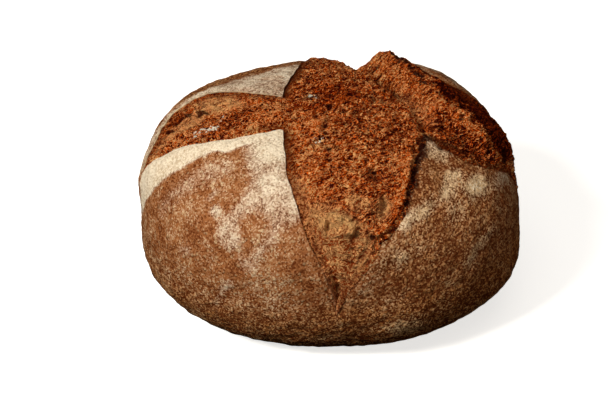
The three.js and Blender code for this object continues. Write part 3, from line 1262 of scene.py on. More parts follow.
@dataclass(frozen=True)
class Crust:
    """The crust's skin: slow lumps, fuller and flatter places, and a lip along the burst."""

    form: LoafForm
    burst: Burst
    forms: tuple[CrustForm, ...] = CRUST_FORMS
    flour: tuple[Patch, ...] = FLOUR
    finish: CrustFinish = CrustFinish()
    ball_subdivisions: int = 7
    lump: float = 1.2
    lump_length: float = 62.0
    dimple: float = 0.7
    dimple_length: float = 11.0
    blister: float = 0.6
    blister_length: float = 4.2
    lip_reach: float = 14.0
    roll_reach: float = 2.6
    full_relief_height: float = 33.0
    fine_relief_height: float = 9.0
    char_reach: float = 4.0
    char_lump: float = 2.6
    char_lump_length: float = 3.4
    bare_flour: float = 0.1
    baked: tuple[Patch, ...] = BAKED
    bake_low: float = 4.0
    bake_high: float = 62.0
    bake_and_shade_at_base: float = 0.85
    bake_most: float = 0.95

    def lift(self, u: Array, v: Array) -> Array:
        """The crust's rise above the smooth loaf.

        Args:
            u: Tape to the right.
            v: Tape to the back.

        Returns:
            The rise at each place.
        """
        spots = self.form.place(u, v)
        above_base = smoothstep(spots[:, 2] / self.full_relief_height)
        near_base = smoothstep(spots[:, 2] / self.fine_relief_height)
        rise = self.lump * bumps(spots, self.lump_length, Layer.LUMP)
        fine = self.dimple * bumps(spots, self.dimple_length, Layer.DIMPLE)
        fine += self.blister * bumps(spots, self.blister_length, Layer.BLISTER)
        reading = self.burst.read(u, v)
        rise += reading.lip * fade(reading.depth, self.lip_reach)
        charred = np.clip(reading.char, 0.0, 1.0) * fade(reading.depth, self.char_reach)
        rise += self.char_lump * charred * bumps(spots, self.char_lump_length, Layer.CHAR)
        rise -= reading.roll * fade(reading.depth, self.roll_reach)
        for form in self.forms:
            away = np.hypot(u - form.at[0], v - form.at[1])
            rise += form.rise * fade(away, form.reach)
        return above_base * rise + near_base * fine

    def bake(self, u: Array, v: Array, height: Array) -> Array:
        """How dark the crust is: darker towards the base, partly from the bake and partly as painted shade,
        and baked darker on the right.
        """
        low = 1.0 - smoothstep((height - self.bake_low) / (self.bake_high - self.bake_low))
        return np.clip(self.bake_and_shade_at_base * low + cover_of(self.baked, u, v), 0.0, self.bake_most)

    def build(self) -> bpy.types.Object:
        """Makes the crust's whole skin, before the burst is cut out of it.

        Returns:
            The skin's object, in millimetres.
        """
        crust = WrappedSkin(self.form, "crust_skin", self.ball_subdivisions).build(self.lift)
        crust.data.materials.append(self.finish.material())
        return crust


@dataclass(frozen=True)
class CrumbForm:
    """A swelling or dip of the crumb along a line of (u, v, rise), with its reach to the left and right."""

    name: str
    line: tuple[Rise, ...]
    reach: Spot


def rise_along(forms: Sequence[CrumbForm], u: Array, v: Array) -> Array:
    """The rise that swellings and dips give together.

    Args:
        forms: The swellings and dips.
        u: Tape to the right.
        v: Tape to the back.

    Returns:
        The rise at each place.
    """
    rise = np.zeros(u.shape)
    for form in forms:
        line = np.array(form.line, float)
        distance, along, on_left = nearest_on_line(u, v, line[:, :2])
        height = np.interp(along, np.arange(len(line)), line[:, 2])
        rise += height * fade(distance, np.where(on_left, *form.reach))
    return rise


CRUMB_FORMS = (
    CrumbForm("mound between the front flaps", reach=(34, 34), line=(
        (12, 0, 3), (11, -40, 5), (9, -80, 5))),
    CrumbForm("mound at the back", reach=(20, 16), line=((-6, 18, 3.5), (-6, 50, 2.5), (-4, 84, 0.5))),
    CrumbForm("torn ridge of the lifted rear right flap", reach=(24, 7.5), line=(
        (19, 74, 0), (26, 66, 9), (34, 59, 10.5), (41, 48, 10.5), (45, 38, 10), (50, 26, 10), (54, 11, 10),
        (58, -3, 9), (66, -4, 8.5), (73, -6, 7.5), (77, -12, 6.5), (83, -14, 6), (89, -20, 4.5),
        (96, -28, 0))),
    CrumbForm("corner under the ridge", reach=(4, 4), line=((58, -8, 2), (60, -16, 4), (61, -27, 2))),
    CrumbForm("valley under the ridge", reach=(6, 6), line=(
        (15, 112, -7), (17, 70, -9), (23, 53, -10), (30, 38, -10), (38, 24, -9), (45, 14, -8), (50, 4, -7),
        (53, -10, -6), (55, -24, -4))),
    CrumbForm("hollow behind the ridge", reach=(10, 10), line=((52, 52, -4), (66, 38, -5), (94, 34, -2))),
    CrumbForm("hollow of the right arm", reach=(7, 7), line=((68, -22, -2), (78, -29, -3), (92, -33, -2))),
    CrumbForm("dip at the end of the right arm", reach=(14, 14), line=((108, -18, -3), (136, -6, -6))),
    CrumbForm("band in the left arm", reach=(11, 11), line=((-30, -16, 5), (-66, -19, 3), (-100, -17, 2))),
    CrumbForm("hollow in the left arm", reach=(8, 8), line=(
        (-58, 2, -1), (-84, -3, -2.5), (-104, -10, -2.5))),
    CrumbForm("torn strip on the right of the front", reach=(3, 3), line=(
        (47, -36, 2.5), (42, -48, 4), (40, -60, 4), (40.5, -74, 4), (39.5, -87, 3.5), (37, -95, 3),
        (32, -105, 3), (26.5, -110, 3), (23.5, -114, 3), (23, -121, 3), (20.5, -126, 3), (17, -132.5, 2.5),
        (14, -138, 2), (12, -143, 1.5), (9, -150, 1))),
    CrumbForm("chamber in the strip", reach=(3.5, 3.5), line=(
        (29.5, -88, -3), (31, -93, -5), (30, -99, -4), (27, -102.5, -2))),
    CrumbForm("pale shelf", reach=(4, 4), line=(
        (-0.5, -103, 2.5), (4, -102, 4), (9, -104, 4), (12, -107, 3))),
    CrumbForm("strand under the shelf", reach=(1.3, 1.3), line=(
        (0.5, -112.5, 2), (5.5, -111, 2.2), (12.5, -110, 2))),
    CrumbForm("rope of crumb", reach=(1.6, 1.6), line=((-3, -104, 3), (-3.7, -109, 3.5), (-3.5, -116, 2))),
    CrumbForm("tongue", reach=(6, 7), line=(
        (6, -113, 2), (7, -119, 3), (7.3, -125.5, 3), (7.6, -132, 2.5))),
    CrumbForm("gully on the left of the front", reach=(3.5, 3.5), line=(
        (-18, -74, -1.5), (-13.5, -98.5, -4), (-11, -106, -4.5), (-8, -113, -4.5), (-6, -120.5, -4),
        (-4, -127, -3))),
    CrumbForm("hollow of the front point", reach=(12, 12), line=(
        (8, -116, -2), (6, -134, -4), (6, -150, -5))),
    CrumbForm("chamber of the front point", reach=(7, 7), line=(
        (2.7, -141, -1.5), (4.2, -146, -2), (6, -153, -1))),
)

LEFT_ARM_HOLES = gas_holes(
    (-92, 12, 2.2), (-89.5, 12, 2.4), (-86, 9.5, 2.4), (-85, 12.5, 2.6), (-80.5, 5.5, 2), (-79, 7, 2.4),
    (-76.5, 6, 2), (-96, 9, 2.2), (-94.5, 10, 1.2), (-99.3, 1.5, 2.6), (-77.5, 11.5, 1.4), (-75.5, 11, 1.2),
    depth=0.6,
)
CROWN_HOLES = gas_holes((0, -9.5, 1.8), (0, -13, 1.7), (7.5, -18, 1.7), depth=3.0)
VALLEY_HOLES = gas_holes((27.5, 55.5, 1.6), (30.5, 48.5, 1.4), (32, 14, 1.8), depth=2.0)
MOUND_HOLES = gas_holes(
    (-2.5, -33, 1.8), (-2.5, -42, 1.3), (-0.5, -55, 1.5), (0, -65, 1.2), (20, -36, 1.3), (-5, -47, 1.3),
    depth=1.5,
)
LOW_HOLES = gas_holes((24, -72, 1.5), (24.5, -111.5, 1.8), depth=2.0)
RIDGE_HOLES = gas_holes((72, -10, 1.3), (72.5, -12.5, 1.3), depth=1.5)
SLIT_HOLES = gas_holes((114, -2.5, 2.2), (115.5, -5, 2.4), (116, -10, 2.2), depth=0.6)
GAS_HOLES = (
    *LEFT_ARM_HOLES, *CROWN_HOLES, *VALLEY_HOLES, *MOUND_HOLES, *LOW_HOLES, *RIDGE_HOLES, *SLIT_HOLES
)

CREASES = (
    CrumbForm("furrow across the mound", reach=(1.8, 1.8), line=(
        (13, -17.6, -1.6), (19, -9, -1.8), (24, -3, -2), (27, 5, -1.6))),
    CrumbForm("hollow at its end", reach=(3, 3), line=((27, 2, -1.4), (33, 2.7, -1.4))),
    CrumbForm("furrow beside the lump", reach=(1.6, 1.6), line=(
        (-4, -38.3, -2), (-2, -30, -2), (0, -20.6, -1.2))),
    CrumbForm("crease over the white spot", reach=(0.9, 0.9), line=((-5.3, -44.4, -2.5), (-2, -44, -2.5))),
    CrumbForm("furrow down the mound", reach=(1.6, 1.6), line=(
        (-1.1, -53, -1.5), (-1.1, -67, -1.2), (-0.5, -79.4, -0.8))),
    CrumbForm("hollow low on the right", reach=(3, 3), line=((23, -71.4, -2.5), (25, -75.6, -2.5))),
    CrumbForm("crease over the shelf", reach=(1.2, 1.2), line=(
        (-2, -104.5, -1.2), (0.5, -100, -1.5), (4, -98, -1.5), (9, -99.5, -1.5), (13, -103.5, -1.2))),
    CrumbForm("gap beside the tongue", reach=(1.4, 1.4), line=(
        (23, -110.5, -2.5), (22, -115, -2), (20.5, -121, -2.5), (17.5, -128, -2), (15.5, -133.5, -1.5))),
    CrumbForm("ledge under the tongue", reach=(1.2, 1.2), line=(
        (0, -137.5, -0.8), (5.5, -139, -1.2), (11, -139, -1.4))),
)

CROWN = ((-22, 12), (16, 14), (18, -4), (4, -14), (-20, -10))
PALE_SHELF = ((-2, -98), (4, -97), (15, -103), (14, -108), (4, -108), (-2, -111))

PALE_CRUMB = (
    Patch("front point", feather=7.0, amount=0.8, outline=(
        (-16, -98), (-2, -96), (14, -104), (22, -112), (24, -120), (18, -134), (12, -145), (5, -160),
        (-4, -134))),
    Patch("pale shelf", feather=2.5, amount=0.85, outline=PALE_SHELF),
    Patch("wall over the shelf", feather=3.0, amount=0.6, outline=(
        (9, -91), (15, -89), (20.5, -90.5), (23, -96), (16, -98), (11, -96))),
    Patch("chamber in the strip", feather=2.0, amount=0.7, outline=(
        (26, -88.5), (31, -87), (34, -92), (33, -98), (28, -103), (25.5, -98))),
    Patch("valley wall", feather=2.5, amount=0.15, outline=(
        (41, 25), (47, 14), (52, 2.5), (56.5, -9.5), (60.5, -17), (60, -24), (57, -17), (52, -8), (46, 2),
        (41, 18))),
    Patch("upper half of the left arm", feather=4.0, amount=0.45, outline=(
        (-50, 2), (-53, 12), (-62, 19), (-73, 24), (-82, 22), (-76, 4), (-66, 0))),
    Patch("end of the left arm", feather=4.0, amount=0.5, outline=(
        (-76, -8), (-84, -13), (-96, -14), (-110, -16), (-104, -5), (-97, 4), (-88, 12), (-80, 12),
        (-76, 0))),
    Patch("gully beside the front left flap", feather=4.0, amount=0.7, outline=(
        (-22, -76), (-17, -76), (-10, -104), (-14, -106))),
)

# Brighter crumb: partly orange torn crumb, such as the fringe, partly painted light on faces turned to the
# light, such as the ridge's face, the strip, the shelf and the left arm's upper half.
BRIGHT_AND_LIT_CRUMB = (
    Patch("face of the ridge", feather=2.5, amount=0.8, outline=(
        (25, 67), (28, 65), (33, 56), (37, 50.5), (42, 38), (47, 26.5), (51, 17), (54, 7), (57, -5),
        (60, -9), (56, -9), (52, 2.5), (47, 15), (42, 24), (36, 37.5), (30, 51), (25, 62))),
    Patch("fringe of the ridge", feather=1.0, amount=1.5, outline=(
        (54.5, 5), (57.5, 1.5), (60, -3), (63.3, -6.8), (67, -8), (71, -8.5), (74, -11.5), (79, -14.5),
        (84, -17), (90, -17), (95.5, -15.5), (95, -18.5), (90, -20), (84, -20.5), (78.5, -17.5),
        (73, -14.5), (70, -11.5), (66.5, -10.8), (62.5, -9.3), (59, -6), (56, -1), (53, 4))),
    Patch("strip beside the front right flap", feather=1.8, amount=1.1, outline=(
        (46, -38), (42, -52), (40, -63), (42, -70), (42.5, -78), (40.5, -87), (38, -94), (33.5, -107),
        (27.5, -112), (25.5, -121), (22.5, -128), (18.5, -135), (15.5, -132), (19, -125), (21, -120),
        (21.5, -112.5), (30.5, -103), (33, -91), (36, -85), (38, -76), (36, -71), (35, -63), (37, -52),
        (43, -38))),
    Patch("pale shelf", feather=2.5, amount=1.1, outline=PALE_SHELF),
    Patch("lump near the crown", feather=3.0, amount=1.0, outline=(
        (-9, -24), (-4, -23), (-3, -31), (-8, -33))),
    Patch("left of the mound", feather=8.0, amount=0.6, outline=(
        (-22, -30), (-4, -30), (-4, -90), (-16, -90))),
    Patch("upper half of the left arm", feather=5.0, amount=1.3, outline=(
        (-95, 14), (-84, 20), (-72, 22), (-53.5, 16), (-39, 4.5), (-45, -7), (-62, -4), (-73, -8.5),
        (-82, -10.5), (-89.5, -13.5), (-99, -13), (-106, -4))),
)

# Darker crumb: partly crumb that baked deeper, such as the slab and the band of the left arm, partly painted
# shade on crumb turned from the light, such as the valley, the right arm under the ridge, the crown and the
# front point's right wall.
DEEP_AND_SHADED_CRUMB = (
    Patch("slab behind the ridge", feather=1.6, amount=0.6, outline=(
        (28, 71), (33, 57), (38, 50), (43, 38), (48, 26.5), (52, 17), (55, 9), (58.5, 3), (61, -1),
        (64, -5), (67.5, -6.2), (72, -6.8), (75, -9.5), (80, -12.5), (85, -15), (90, -15.2), (96, -13.8),
        (104, -14), (120, -6), (132, 30), (96, 50), (66, 50))),
    Patch("crest of the slab", feather=3.0, amount=1.7, outline=(
        (52, 20), (56, 10), (60, 1), (66, -4), (73, -5), (78, -10), (86, -13), (92, -12), (84, 0), (70, 10),
        (60, 24))),
    Patch("right arm under the ridge", feather=2.0, amount=1.15, outline=(
        (58, -8), (62, -11), (66, -12.5), (70, -13.5), (73, -16.5), (78, -19.5), (84, -22.5), (90, -22),
        (96, -20.5), (104, -17), (110, -24), (100, -33), (90, -43), (66, -43), (58, -34), (57, -20))),
    Patch("valley under the ridge", feather=2.5, amount=0.4, outline=(
        (15, 74), (22, 68), (29, 52), (36, 37), (42, 26), (47, 16), (49.5, 9), (44, 8), (37, 16), (29, 26),
        (22, 42))),
    Patch("right of the mound", feather=8.0, amount=0.4, outline=(
        (28, -10), (46, -20), (40, -44), (34, -64), (26, -60))),
    Patch("band of the left arm", feather=4.0, amount=0.5, outline=(
        (-28, -9), (-43, -9), (-57, -8), (-74, -3.5), (-76, -22), (-55, -26), (-41, -26), (-28, -24))),
    Patch("crown", feather=8.0, amount=0.7, outline=CROWN),
    Patch("front point", feather=5.0, amount=0.5, outline=((-2, -136), (14, -136), (10, -148), (5, -158))),
    Patch("right wall of the front point", feather=3.0, amount=1.2, outline=(
        (13, -130), (19, -134), (12, -148), (5, -160), (7, -146))),
    Patch("back of the crown", feather=12.0, amount=0.5, outline=(
        (-24, 14), (14, 16), (18, 56), (14, 100), (-12, 100), (-24, 50))),
)

CHARRED_CRUMB = (
    Patch("burnt crest of the ridge", feather=1.5, amount=0.6, outline=(
        (31, 67), (40, 51), (44.5, 40), (49, 27), (52.5, 17), (49.5, 17), (46, 27), (41, 40), (36, 52))),
)

# Painted shadows: dark strips where shade falls, at the foot of the ridge, on the mound's far side, in the
# slit at the right end, in the furrow under the rim and along the flaps' edges.
PAINTED_SHADOW_CRUMB = (
    Patch("foot of the ridge", feather=1.2, amount=0.5, outline=(
        (22.5, 58), (26.5, 49.5), (30, 44), (33.3, 37), (36.8, 31), (40.7, 19.5), (44.3, 14), (47.3, 7.5),
        (50.5, 0), (51, 4), (48, 11.5), (45, 18), (41.3, 24), (37.5, 35.5), (34, 41), (31, 47.5),
        (27.5, 53.5), (24, 62))),
    Patch("far side of the mound", feather=1.5, amount=0.45, outline=(
        (20.5, 33), (23.5, 22.5), (27.2, 19.5), (31.2, 19), (34.5, 11), (38.2, 2.5), (42, -1), (46, 1),
        (42.5, 4.5), (39, 7), (35, 16), (32, 25), (27.5, 24), (24, 27), (21, 38))),
    Patch("slit at the right end", feather=1.0, amount=1.0, outline=(
        (110, -7), (111.5, -2.5), (114, 0.5), (117, -1.5), (119.5, -4.5), (117.5, -13), (111, -22.5),
        (109.5, -21), (112.5, -12))),
    Patch("furrow under the rim", feather=0.8, amount=0.7, outline=(
        (-110, -14), (-106.5, -8), (-103.5, -2.5), (-102, -1.2), (-101.8, -3), (-104.6, -8),
        (-108, -14.5))),
    Patch("under the rear left flap", feather=1.0, amount=0.5, outline=(
        (-72, 22), (-60, 18), (-52, 15), (-52, 17.5), (-60, 21), (-72, 25))),
    Patch("over the front left flap", feather=1.0, amount=0.45, outline=(
        (-48, -30), (-36, -29), (-25, -27.5), (-25, -30), (-36, -32), (-48, -33))),
    Patch("over the front right flap", feather=1.2, amount=0.75, outline=(
        (53, -28), (57.5, -30), (62, -34.5), (70, -36.5), (79, -37), (80, -40), (70, -41), (61, -39.5),
        (55, -34))),
)

CALM_CRUMB = (
    Patch("crown", feather=8.0, amount=0.35, outline=CROWN),
    Patch("slab behind the ridge", feather=3.0, amount=0.7, outline=(
        (36, 68), (48, 46), (54, 30), (59, 12), (64, 3), (76, -1), (84, -7), (94, -16), (120, -6),
        (132, 30), (96, 50), (66, 50))),
    Patch("end of the ridge", feather=2.5, amount=0.4, outline=(
        (51, 6), (56, 0), (59, -12), (59, -28), (55, -26), (52, -8))),
    Patch("front point", feather=5.0, amount=0.7, outline=(
        (-14, -104), (2, -110), (14, -112), (16, -126), (6, -154), (-4, -134))),
    Patch("gully beside the front left flap", feather=4.0, amount=0.7, outline=(
        (-22, -76), (-17, -76), (-8, -112), (-13, -112))),
)

# Painted glints on the strands, where glossy crumb catches the light.
PAINTED_GLINT_CRUMB = (
    Patch("near the crown", feather=4.0, amount=0.7, outline=((-15, 3), (-7, 4), (-6, -5), (-14, -6))),
    Patch("left of the mound", feather=3.5, amount=0.8, outline=(
        (-11, -47), (-3, -46), (-3, -54), (-11, -55))),
    Patch("upper half of the left arm", feather=4.0, amount=0.4, outline=(
        (-50, 2), (-56, 14), (-70, 20), (-82, 18), (-76, 4), (-64, 0))),
    Patch("beside the front left flap", feather=2.5, amount=0.6, outline=(
        (-16, -56), (-12, -56), (-11, -60), (-16, -60))),
    Patch("pale shelf", feather=2.5, amount=0.8, outline=(
        (-1, -98), (4, -97), (14, -103), (13, -107), (4, -107))),
)

OPEN_CRUMB = (
    Patch("upper half of the left arm", feather=5.0, amount=1.0, outline=(
        (-58, 10), (-73, 22), (-92, 18), (-108, -4), (-84, 0), (-64, 2))),
    Patch("foot of the ridge", feather=5.0, amount=0.5, outline=(
        (40, 18), (52, 2), (56, -14), (50, -12), (38, 8))),
)

# White specks: flour dust in the left arm and on the slab, and painted glints near the crown, left of the
# mound and beside the front left flap.
CRUMB_DUST_AND_GLINTS = (
    Patch("glints near the crown", feather=2.5, amount=0.92, outline=(
        (-13, 2), (-7, 3), (-6, -4), (-12, -5))),
    Patch("glints left of the mound", feather=2.5, amount=0.88, outline=(
        (-11, -44), (-2, -44), (-3, -51), (-11, -52))),
    Patch("glints beside the front left flap", feather=2.0, amount=0.82, outline=(
        (-15, -56), (-10, -56), (-10, -60), (-15, -60))),
    Patch("dust in the left arm", feather=3.0, amount=1.2, outline=(
        (-79, -28), (-77, -22), (-61, -21), (-61, -27))),
    Patch("dust over it", feather=2.0, amount=1.2, outline=(
        (-62.5, -18), (-60.5, -13), (-57.5, -14), (-59, -19))),
    Patch("speck on the slab", feather=1.5, amount=1.0, outline=((72, 4), (74, 5), (75, 7), (73, 8))),
)


@dataclass(frozen=True)
class Crumb:
    """The torn crumb that rises between the lips."""

    form: LoafForm
    burst: Burst
    forms: tuple[CrumbForm, ...] = CRUMB_FORMS
    holes: tuple[GasHole, ...] = GAS_HOLES
    creases: tuple[CrumbForm, ...] = CREASES
    pale: tuple[Patch, ...] = PALE_CRUMB
    bright_and_lit: tuple[Patch, ...] = BRIGHT_AND_LIT_CRUMB
    deep: tuple[Patch, ...] = DEEP_AND_SHADED_CRUMB
    charred: tuple[Patch, ...] = CHARRED_CRUMB
    dark: tuple[Patch, ...] = PAINTED_SHADOW_CRUMB
    calm: tuple[Patch, ...] = CALM_CRUMB
    painted_glint: tuple[Patch, ...] = PAINTED_GLINT_CRUMB
    open_cells: tuple[Patch, ...] = OPEN_CRUMB
    dust: tuple[Patch, ...] = CRUMB_DUST_AND_GLINTS
    finish: CrumbFinish = CrumbFinish()
    ball_subdivisions: int = 6
    finer_cuts: int = 4
    inset: float = 11.0
    inset_reach: float = 14.0
    hole_steepness: float = 2.0
    crag_height: float = 2.4
    crag_length: float = 13.0
    small_crag_share: float = 0.4
    small_crag_length: float = 6.0
    fold_height: float = 0.9
    fold_length: float = 9.0
    fold_level: float = 0.5
    strand_height: float = 1.0
    strand_length: float = 3.8
    shred_height: float = 0.9
    shred_length: float = 2.1
    strand_level: float = 0.4
    warp: float = 1.6
    warp_length: float = 4.0
    grain_height: float = 0.5
    grain_length: float = 1.8
    pit_depth: float = 1.4
    pit_length: float = 4.5
    pit_edge: float = 0.3
    pit_steepness: float = 3.0
    calm_share: float = 0.7
    cell_depth: float = 2.0
    cell_length: float = 9.0
    cell_wall: float = 0.32
    spill: float = 4.0
    edge_roughness: float = 0.6
    char_reach: float = 1.8

    @property
    def paints(self) -> dict[str, tuple[Patch, ...]]:
        """The patches that the material reads as they are, by the name it reads them by."""
        by_tone = {"pale": self.pale, "bright_and_lit": self.bright_and_lit, "deep": self.deep}
        return {**by_tone, "calm": self.calm, "painted_glint": self.painted_glint, "dust": self.dust}

    def hollow(self, u: Array, v: Array) -> Array:
        """How deep the gas holes and the creases are.

        Args:
            u: Tape to the right.
            v: Tape to the back.

        Returns:
            The depth at each place.
        """
        deep = -rise_along(self.creases, u, v)
        for hole in self.holes:
            away = np.hypot(u - hole.at[0], v - hole.at[1])
            deep += hole.depth * smoothstep(self.hole_steepness * (1 - away / hole.radius))
        return deep

    def crags(self, spots: Array) -> Array:
        """The crags of the torn crumb."""
        small = self.small_crag_share * bumps(spots, self.small_crag_length, Layer.SMALL_CRAG)
        return self.crag_height * (bumps(spots, self.crag_length, Layer.CRAG) + small)

    def strands(self, spots: Array) -> Array:
        """The finer relief of the crumb: torn folds, strands, shreds, grains and pits.

        Args:
            spots: Points, one a row.

        Returns:
            The rise at each point.
        """
        layers = (Layer.WARP_X, Layer.WARP_Y, Layer.WARP_Z)
        warp = np.stack([bumps(spots, self.warp_length, layer) for layer in layers], axis=1)
        along = np.array([math.cos(TEAR_TURN), math.sin(TEAR_TURN), 0.0])
        bent = spots + self.warp * warp - (1 - 1 / TEAR_STRETCH) * (spots @ along)[:, None] * along
        fold = self.fold_height * (ridges(bent, self.fold_length, Layer.FOLD) ** 2 - self.fold_level)
        strand = ridges(bent, self.strand_length, Layer.STRAND) ** 2 - self.strand_level
        shred = ridges(bent, self.shred_length, Layer.SHRED) ** 2 - self.strand_level
        grain = self.grain_height * bumps(spots, self.grain_length, Layer.GRAIN)
        pit = self.pit_steepness * (bumps(spots, self.pit_length, Layer.PIT) - self.pit_edge)
        rise = fold + self.strand_height * strand + self.shred_height * shred + grain
        return rise - self.pit_depth * smoothstep(pit)

    def cells(self, u: Array, v: Array, spots: Array) -> Array:
        """The open cells of the crumb, which thin walls part.

        Args:
            u: Tape to the right.
            v: Tape to the back.
            spots: The points at those places.

        Returns:
            The depth at each place.
        """
        deep = np.zeros(u.shape)
        share = cover_of(self.open_cells, u, v)
        near = share > 0
        opened = smoothstep(gaps(spots[near], self.cell_length) / self.cell_wall)
        deep[near] = self.cell_depth * share[near] * opened
        return deep

    def lift(self, u: Array, v: Array) -> Array:
        """The crumb's rise above the smooth loaf: sunk under whole crust and craggy between the lips.

        Args:
            u: Tape to the right.
            v: Tape to the back.

        Returns:
            The rise at each place.
        """
        reading = self.burst.read(u, v)
        sink = smoothstep(-reading.depth / self.inset_reach)
        rise = -(reading.crevice + (self.inset - reading.crevice) * sink)
        near = reading.depth > -self.spill
        u, v, depth, crevice = u[near], v[near], reading.depth[near], reading.crevice[near]
        spots = self.form.place(u, v)
        opened = smoothstep(depth / reading.reach[near])
        form = rise_along(self.forms, u, v) + self.crags(spots)
        level = np.where(depth > 0, -crevice * (1 - opened) + opened * form, rise[near])
        rough = self.edge_roughness + (1 - self.edge_roughness) * opened
        rough *= smoothstep(1 + depth / self.spill) * (1 - self.calm_share * cover_of(self.calm, u, v))
        level += rough * self.strands(self.form.place(u, v, level))
        rise[near] = level - opened * (self.cells(u, v, spots) + self.hollow(u, v))
        return rise

    def is_shown(self, u: Array, v: Array) -> Array:
        """Whether the crumb may show at (u, v): inside the burst, and where it spills over the crust."""
        reading = self.burst.read(u, v)
        return reading.depth > np.where(reading.crevice < 0, -self.spill, 0.0)

    def build(self) -> bpy.types.Object:
        """Makes the crumb's skin.

        Returns:
            The skin's object, in millimetres.
        """
        skin = WrappedSkin(self.form, "crumb_skin", self.ball_subdivisions, self.finer_cuts)
        crumb = skin.build(self.lift, self.is_shown)
        crumb.data.materials.append(self.finish.material(self.holes))
        return crumb


@dataclass(frozen=True)
class Loaf:
    """The whole loaf: crust and crumb as one closed piece."""

    form: LoafForm
    burst: Burst
    crust: Crust
    crumb: Crumb
    sharp_angle: float = 55.0
    rim_reach: float = 0.8
    shade_reach: float = 6.5
    bevel_reach: float = 2.6
    dark_hole: float = 3.5
    inside_margin: float = 0.05
    crag_share: float = 0.2
    cell_share: float = 0.2
    cell_darkness: float = 0.5
    relief_span: float = 3.6

    def build(self) -> bpy.types.Object:
        """Makes the loaf's one mesh.

        Returns:
            The loaf's object, in metres.
        """
        loaf = self.crust.build()
        cutter = self.burst.cutter()
        crumb = self.crumb.build()
        cutter.data.materials.append(crumb.data.materials[0])
        join(loaf, cutter, Join.CUT)
        join(loaf, crumb, Join.ADD)
        loaf.name = "loaf_bread"
        self.dress(loaf)
        write_spots(loaf, mesh_spots(loaf) * MILLIMETRE)
        bpy.ops.object.shade_smooth_by_angle(angle=math.radians(self.sharp_angle))
        return loaf

    def dress(self, loaf: bpy.types.Object) -> None:
        """Writes what the materials read at each vertex.

        Args:
            loaf: The joined loaf, in millimetres.
        """
        spots = mesh_spots(loaf)
        u, v = self.form.measure(spots)
        skin = self.form.place(u, v)
        heart = self.form.heart
        lift = np.linalg.norm(spots - heart, axis=1) - np.linalg.norm(skin - heart, axis=1)
        reading = self.burst.read(u, v)
        cells = self.crumb.cells(u, v, skin)
        coarse = self.crag_share * self.crumb.crags(skin)
        # The relief, read by the crumb's colour, paints raised crumb lighter and sunk crumb darker, partly as
        # painted light and shade.
        relief = self.crumb.strands(spots) + coarse - self.cell_share * cells
        inside = reading.depth > self.inside_margin
        char_reach = np.where(inside, self.crumb.char_reach, self.crust.char_reach)
        edge_char = reading.char * fade(reading.depth, char_reach)
        # Holes, creases, open cells and the listed dark strips are painted dark as shade.
        hollow = self.crumb.hollow(u, v) + self.cell_darkness * cells
        dark = cover_of(self.crumb.dark, u, v)
        values = {
            "flour": np.maximum(self.crust.bare_flour, cover_of(self.crust.flour, u, v)),
            "bake": self.crust.bake(u, v, spots[:, 2]),
            "char": edge_char + cover_of(self.crumb.charred, u, v),
            "rim": reading.rim * fade(reading.depth, self.rim_reach),
            "bevel": reading.bevel * fade(reading.depth, self.bevel_reach),
            "shade": reading.shade * fade(reading.depth, self.shade_reach),
            "under": self.crust.lift(u, v) - lift,
            "relief": np.clip(0.5 + relief / self.relief_span, 0.0, 1.0),
            "hole": np.clip(hollow / self.dark_hole + dark, 0.0, 1.0),
            **{name: cover_of(patches, u, v) for name, patches in self.crumb.paints.items()},
        }
        for name, each in values.items():
            write_attribute(loaf, name, each)
        write_places(loaf, "tape", np.column_stack([u, v, np.zeros_like(u)]))


@dataclass(frozen=True)
class Lamp:
    """A soft square light, in metres and watts."""

    name: str
    at: Rise
    size: float
    watts: float
    tone: Tone


LAMPS = (
    Lamp("key_light", (-0.85, -0.85, 1.05), size=0.35, watts=23.5, tone=Tone(255, 250, 240)),
    Lamp("top_light", (0.0, -0.4, 2.2), size=2.4, watts=17.0, tone=Tone(255, 250, 242)),
    Lamp("right_light", (1.3, -1.1, 0.5), size=0.9, watts=4.0, tone=Tone(255, 230, 200)),
)


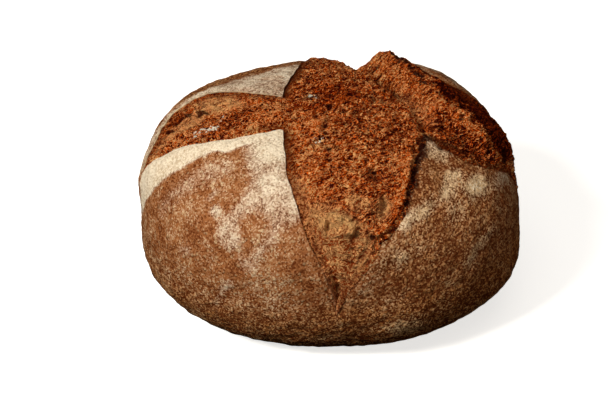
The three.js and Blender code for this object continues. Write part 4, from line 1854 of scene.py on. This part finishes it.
@dataclass(frozen=True)
class Studio:
    """A pale floor, soft light mostly from the upper left, and a camera at the photograph's angle."""

    frame_width: float = 612.0
    sensor_width: float = 36.0
    focal_pixels: float = 1656.0
    camera_distance: float = 1000.0
    camera_rise: float = 30.0
    aim_height: float = 55.0
    aim_shift: Spot = (24.0, 11.0)
    lamps: tuple[Lamp, ...] = LAMPS
    room_tone: Tone = Tone(255, 255, 255)
    floor_size: float = 8.0
    floor_drop: float = 0.0001
    floor_roughness: float = 0.9
    floor_tone: Tone = Tone(244, 243, 241)
    floor_glow: float = 0.8

    def floor(self) -> bpy.types.Object:
        """Makes the pale floor.

        Returns:
            The floor's object.
        """
        bpy.ops.object.select_all(action="DESELECT")
        bpy.ops.mesh.primitive_plane_add(size=self.floor_size, location=(0.0, 0.0, -self.floor_drop))
        floor = bpy.context.active_object
        floor.name = "pale_floor"
        floor.data.materials.append(Shader("pale_floor").finish({
            "Base Color": self.floor_tone,
            "Roughness": self.floor_roughness,
            "Emission Color": self.floor_tone,
            "Emission Strength": self.floor_glow,
        }))
        floor.visible_diffuse = False
        floor.visible_glossy = False
        return floor

    def light(self, lamp: Lamp) -> None:
        """Adds a light that faces the loaf.

        Args:
            lamp: The light's place and strength.
        """
        bpy.ops.object.light_add(type="AREA", location=lamp.at)
        light = bpy.context.active_object
        light.name = lamp.name
        light.data.size = lamp.size
        light.data.energy = lamp.watts
        light.data.color = lamp.tone.linear[:3]
        toward = Vector((0.0, 0.0, self.aim_height * MILLIMETRE)) - Vector(lamp.at)
        light.rotation_euler = toward.to_track_quat("-Z", "Y").to_euler()

    def lights(self) -> None:
        """Adds the lights and the pale room, which is seen but gives no light of its own."""
        for lamp in self.lamps:
            self.light(lamp)
        world = bpy.data.worlds.new("pale_room")
        world.use_nodes = True
        room = world.node_tree.nodes["Background"]
        room.inputs["Color"].default_value = self.room_tone.linear
        room.inputs["Strength"].default_value = 1.0
        world.cycles_visibility.diffuse = False
        world.cycles_visibility.glossy = False
        bpy.context.scene.world = world
        bpy.context.scene.view_settings.view_transform = "Standard"

    def camera(self) -> None:
        """Adds the camera."""
        rise = math.radians(self.camera_rise)
        back = self.camera_distance * MILLIMETRE
        aim = self.aim_height * MILLIMETRE
        at = (0.0, -back * math.cos(rise), aim + back * math.sin(rise))
        bpy.ops.object.camera_add(location=at, rotation=(math.pi / 2 - rise, 0.0, 0.0))
        camera = bpy.context.active_object
        camera.data.sensor_width = self.sensor_width
        camera.data.lens = self.focal_pixels / self.frame_width * self.sensor_width
        camera.data.shift_x = -self.aim_shift[0] / self.frame_width
        camera.data.shift_y = -self.aim_shift[1] / self.frame_width
        bpy.context.scene.camera = camera

    def build(self) -> None:
        """Sets up the whole studio."""
        self.floor()
        self.lights()
        self.camera()


def main() -> None:
    """Builds the loaf and the studio."""
    logging.basicConfig(level=logging.INFO, format="%(name)s: %(message)s")
    form = LoafForm()
    burst = Burst(form)
    loaf = Loaf(form, burst, Crust(form, burst), Crumb(form, burst)).build()
    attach(loaf, "root")
    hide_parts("loaf")
    LOG.info("%s has %d faces", loaf.name, len(loaf.data.polygons))
    Studio().build()


if __name__ == "__main__":
    main()
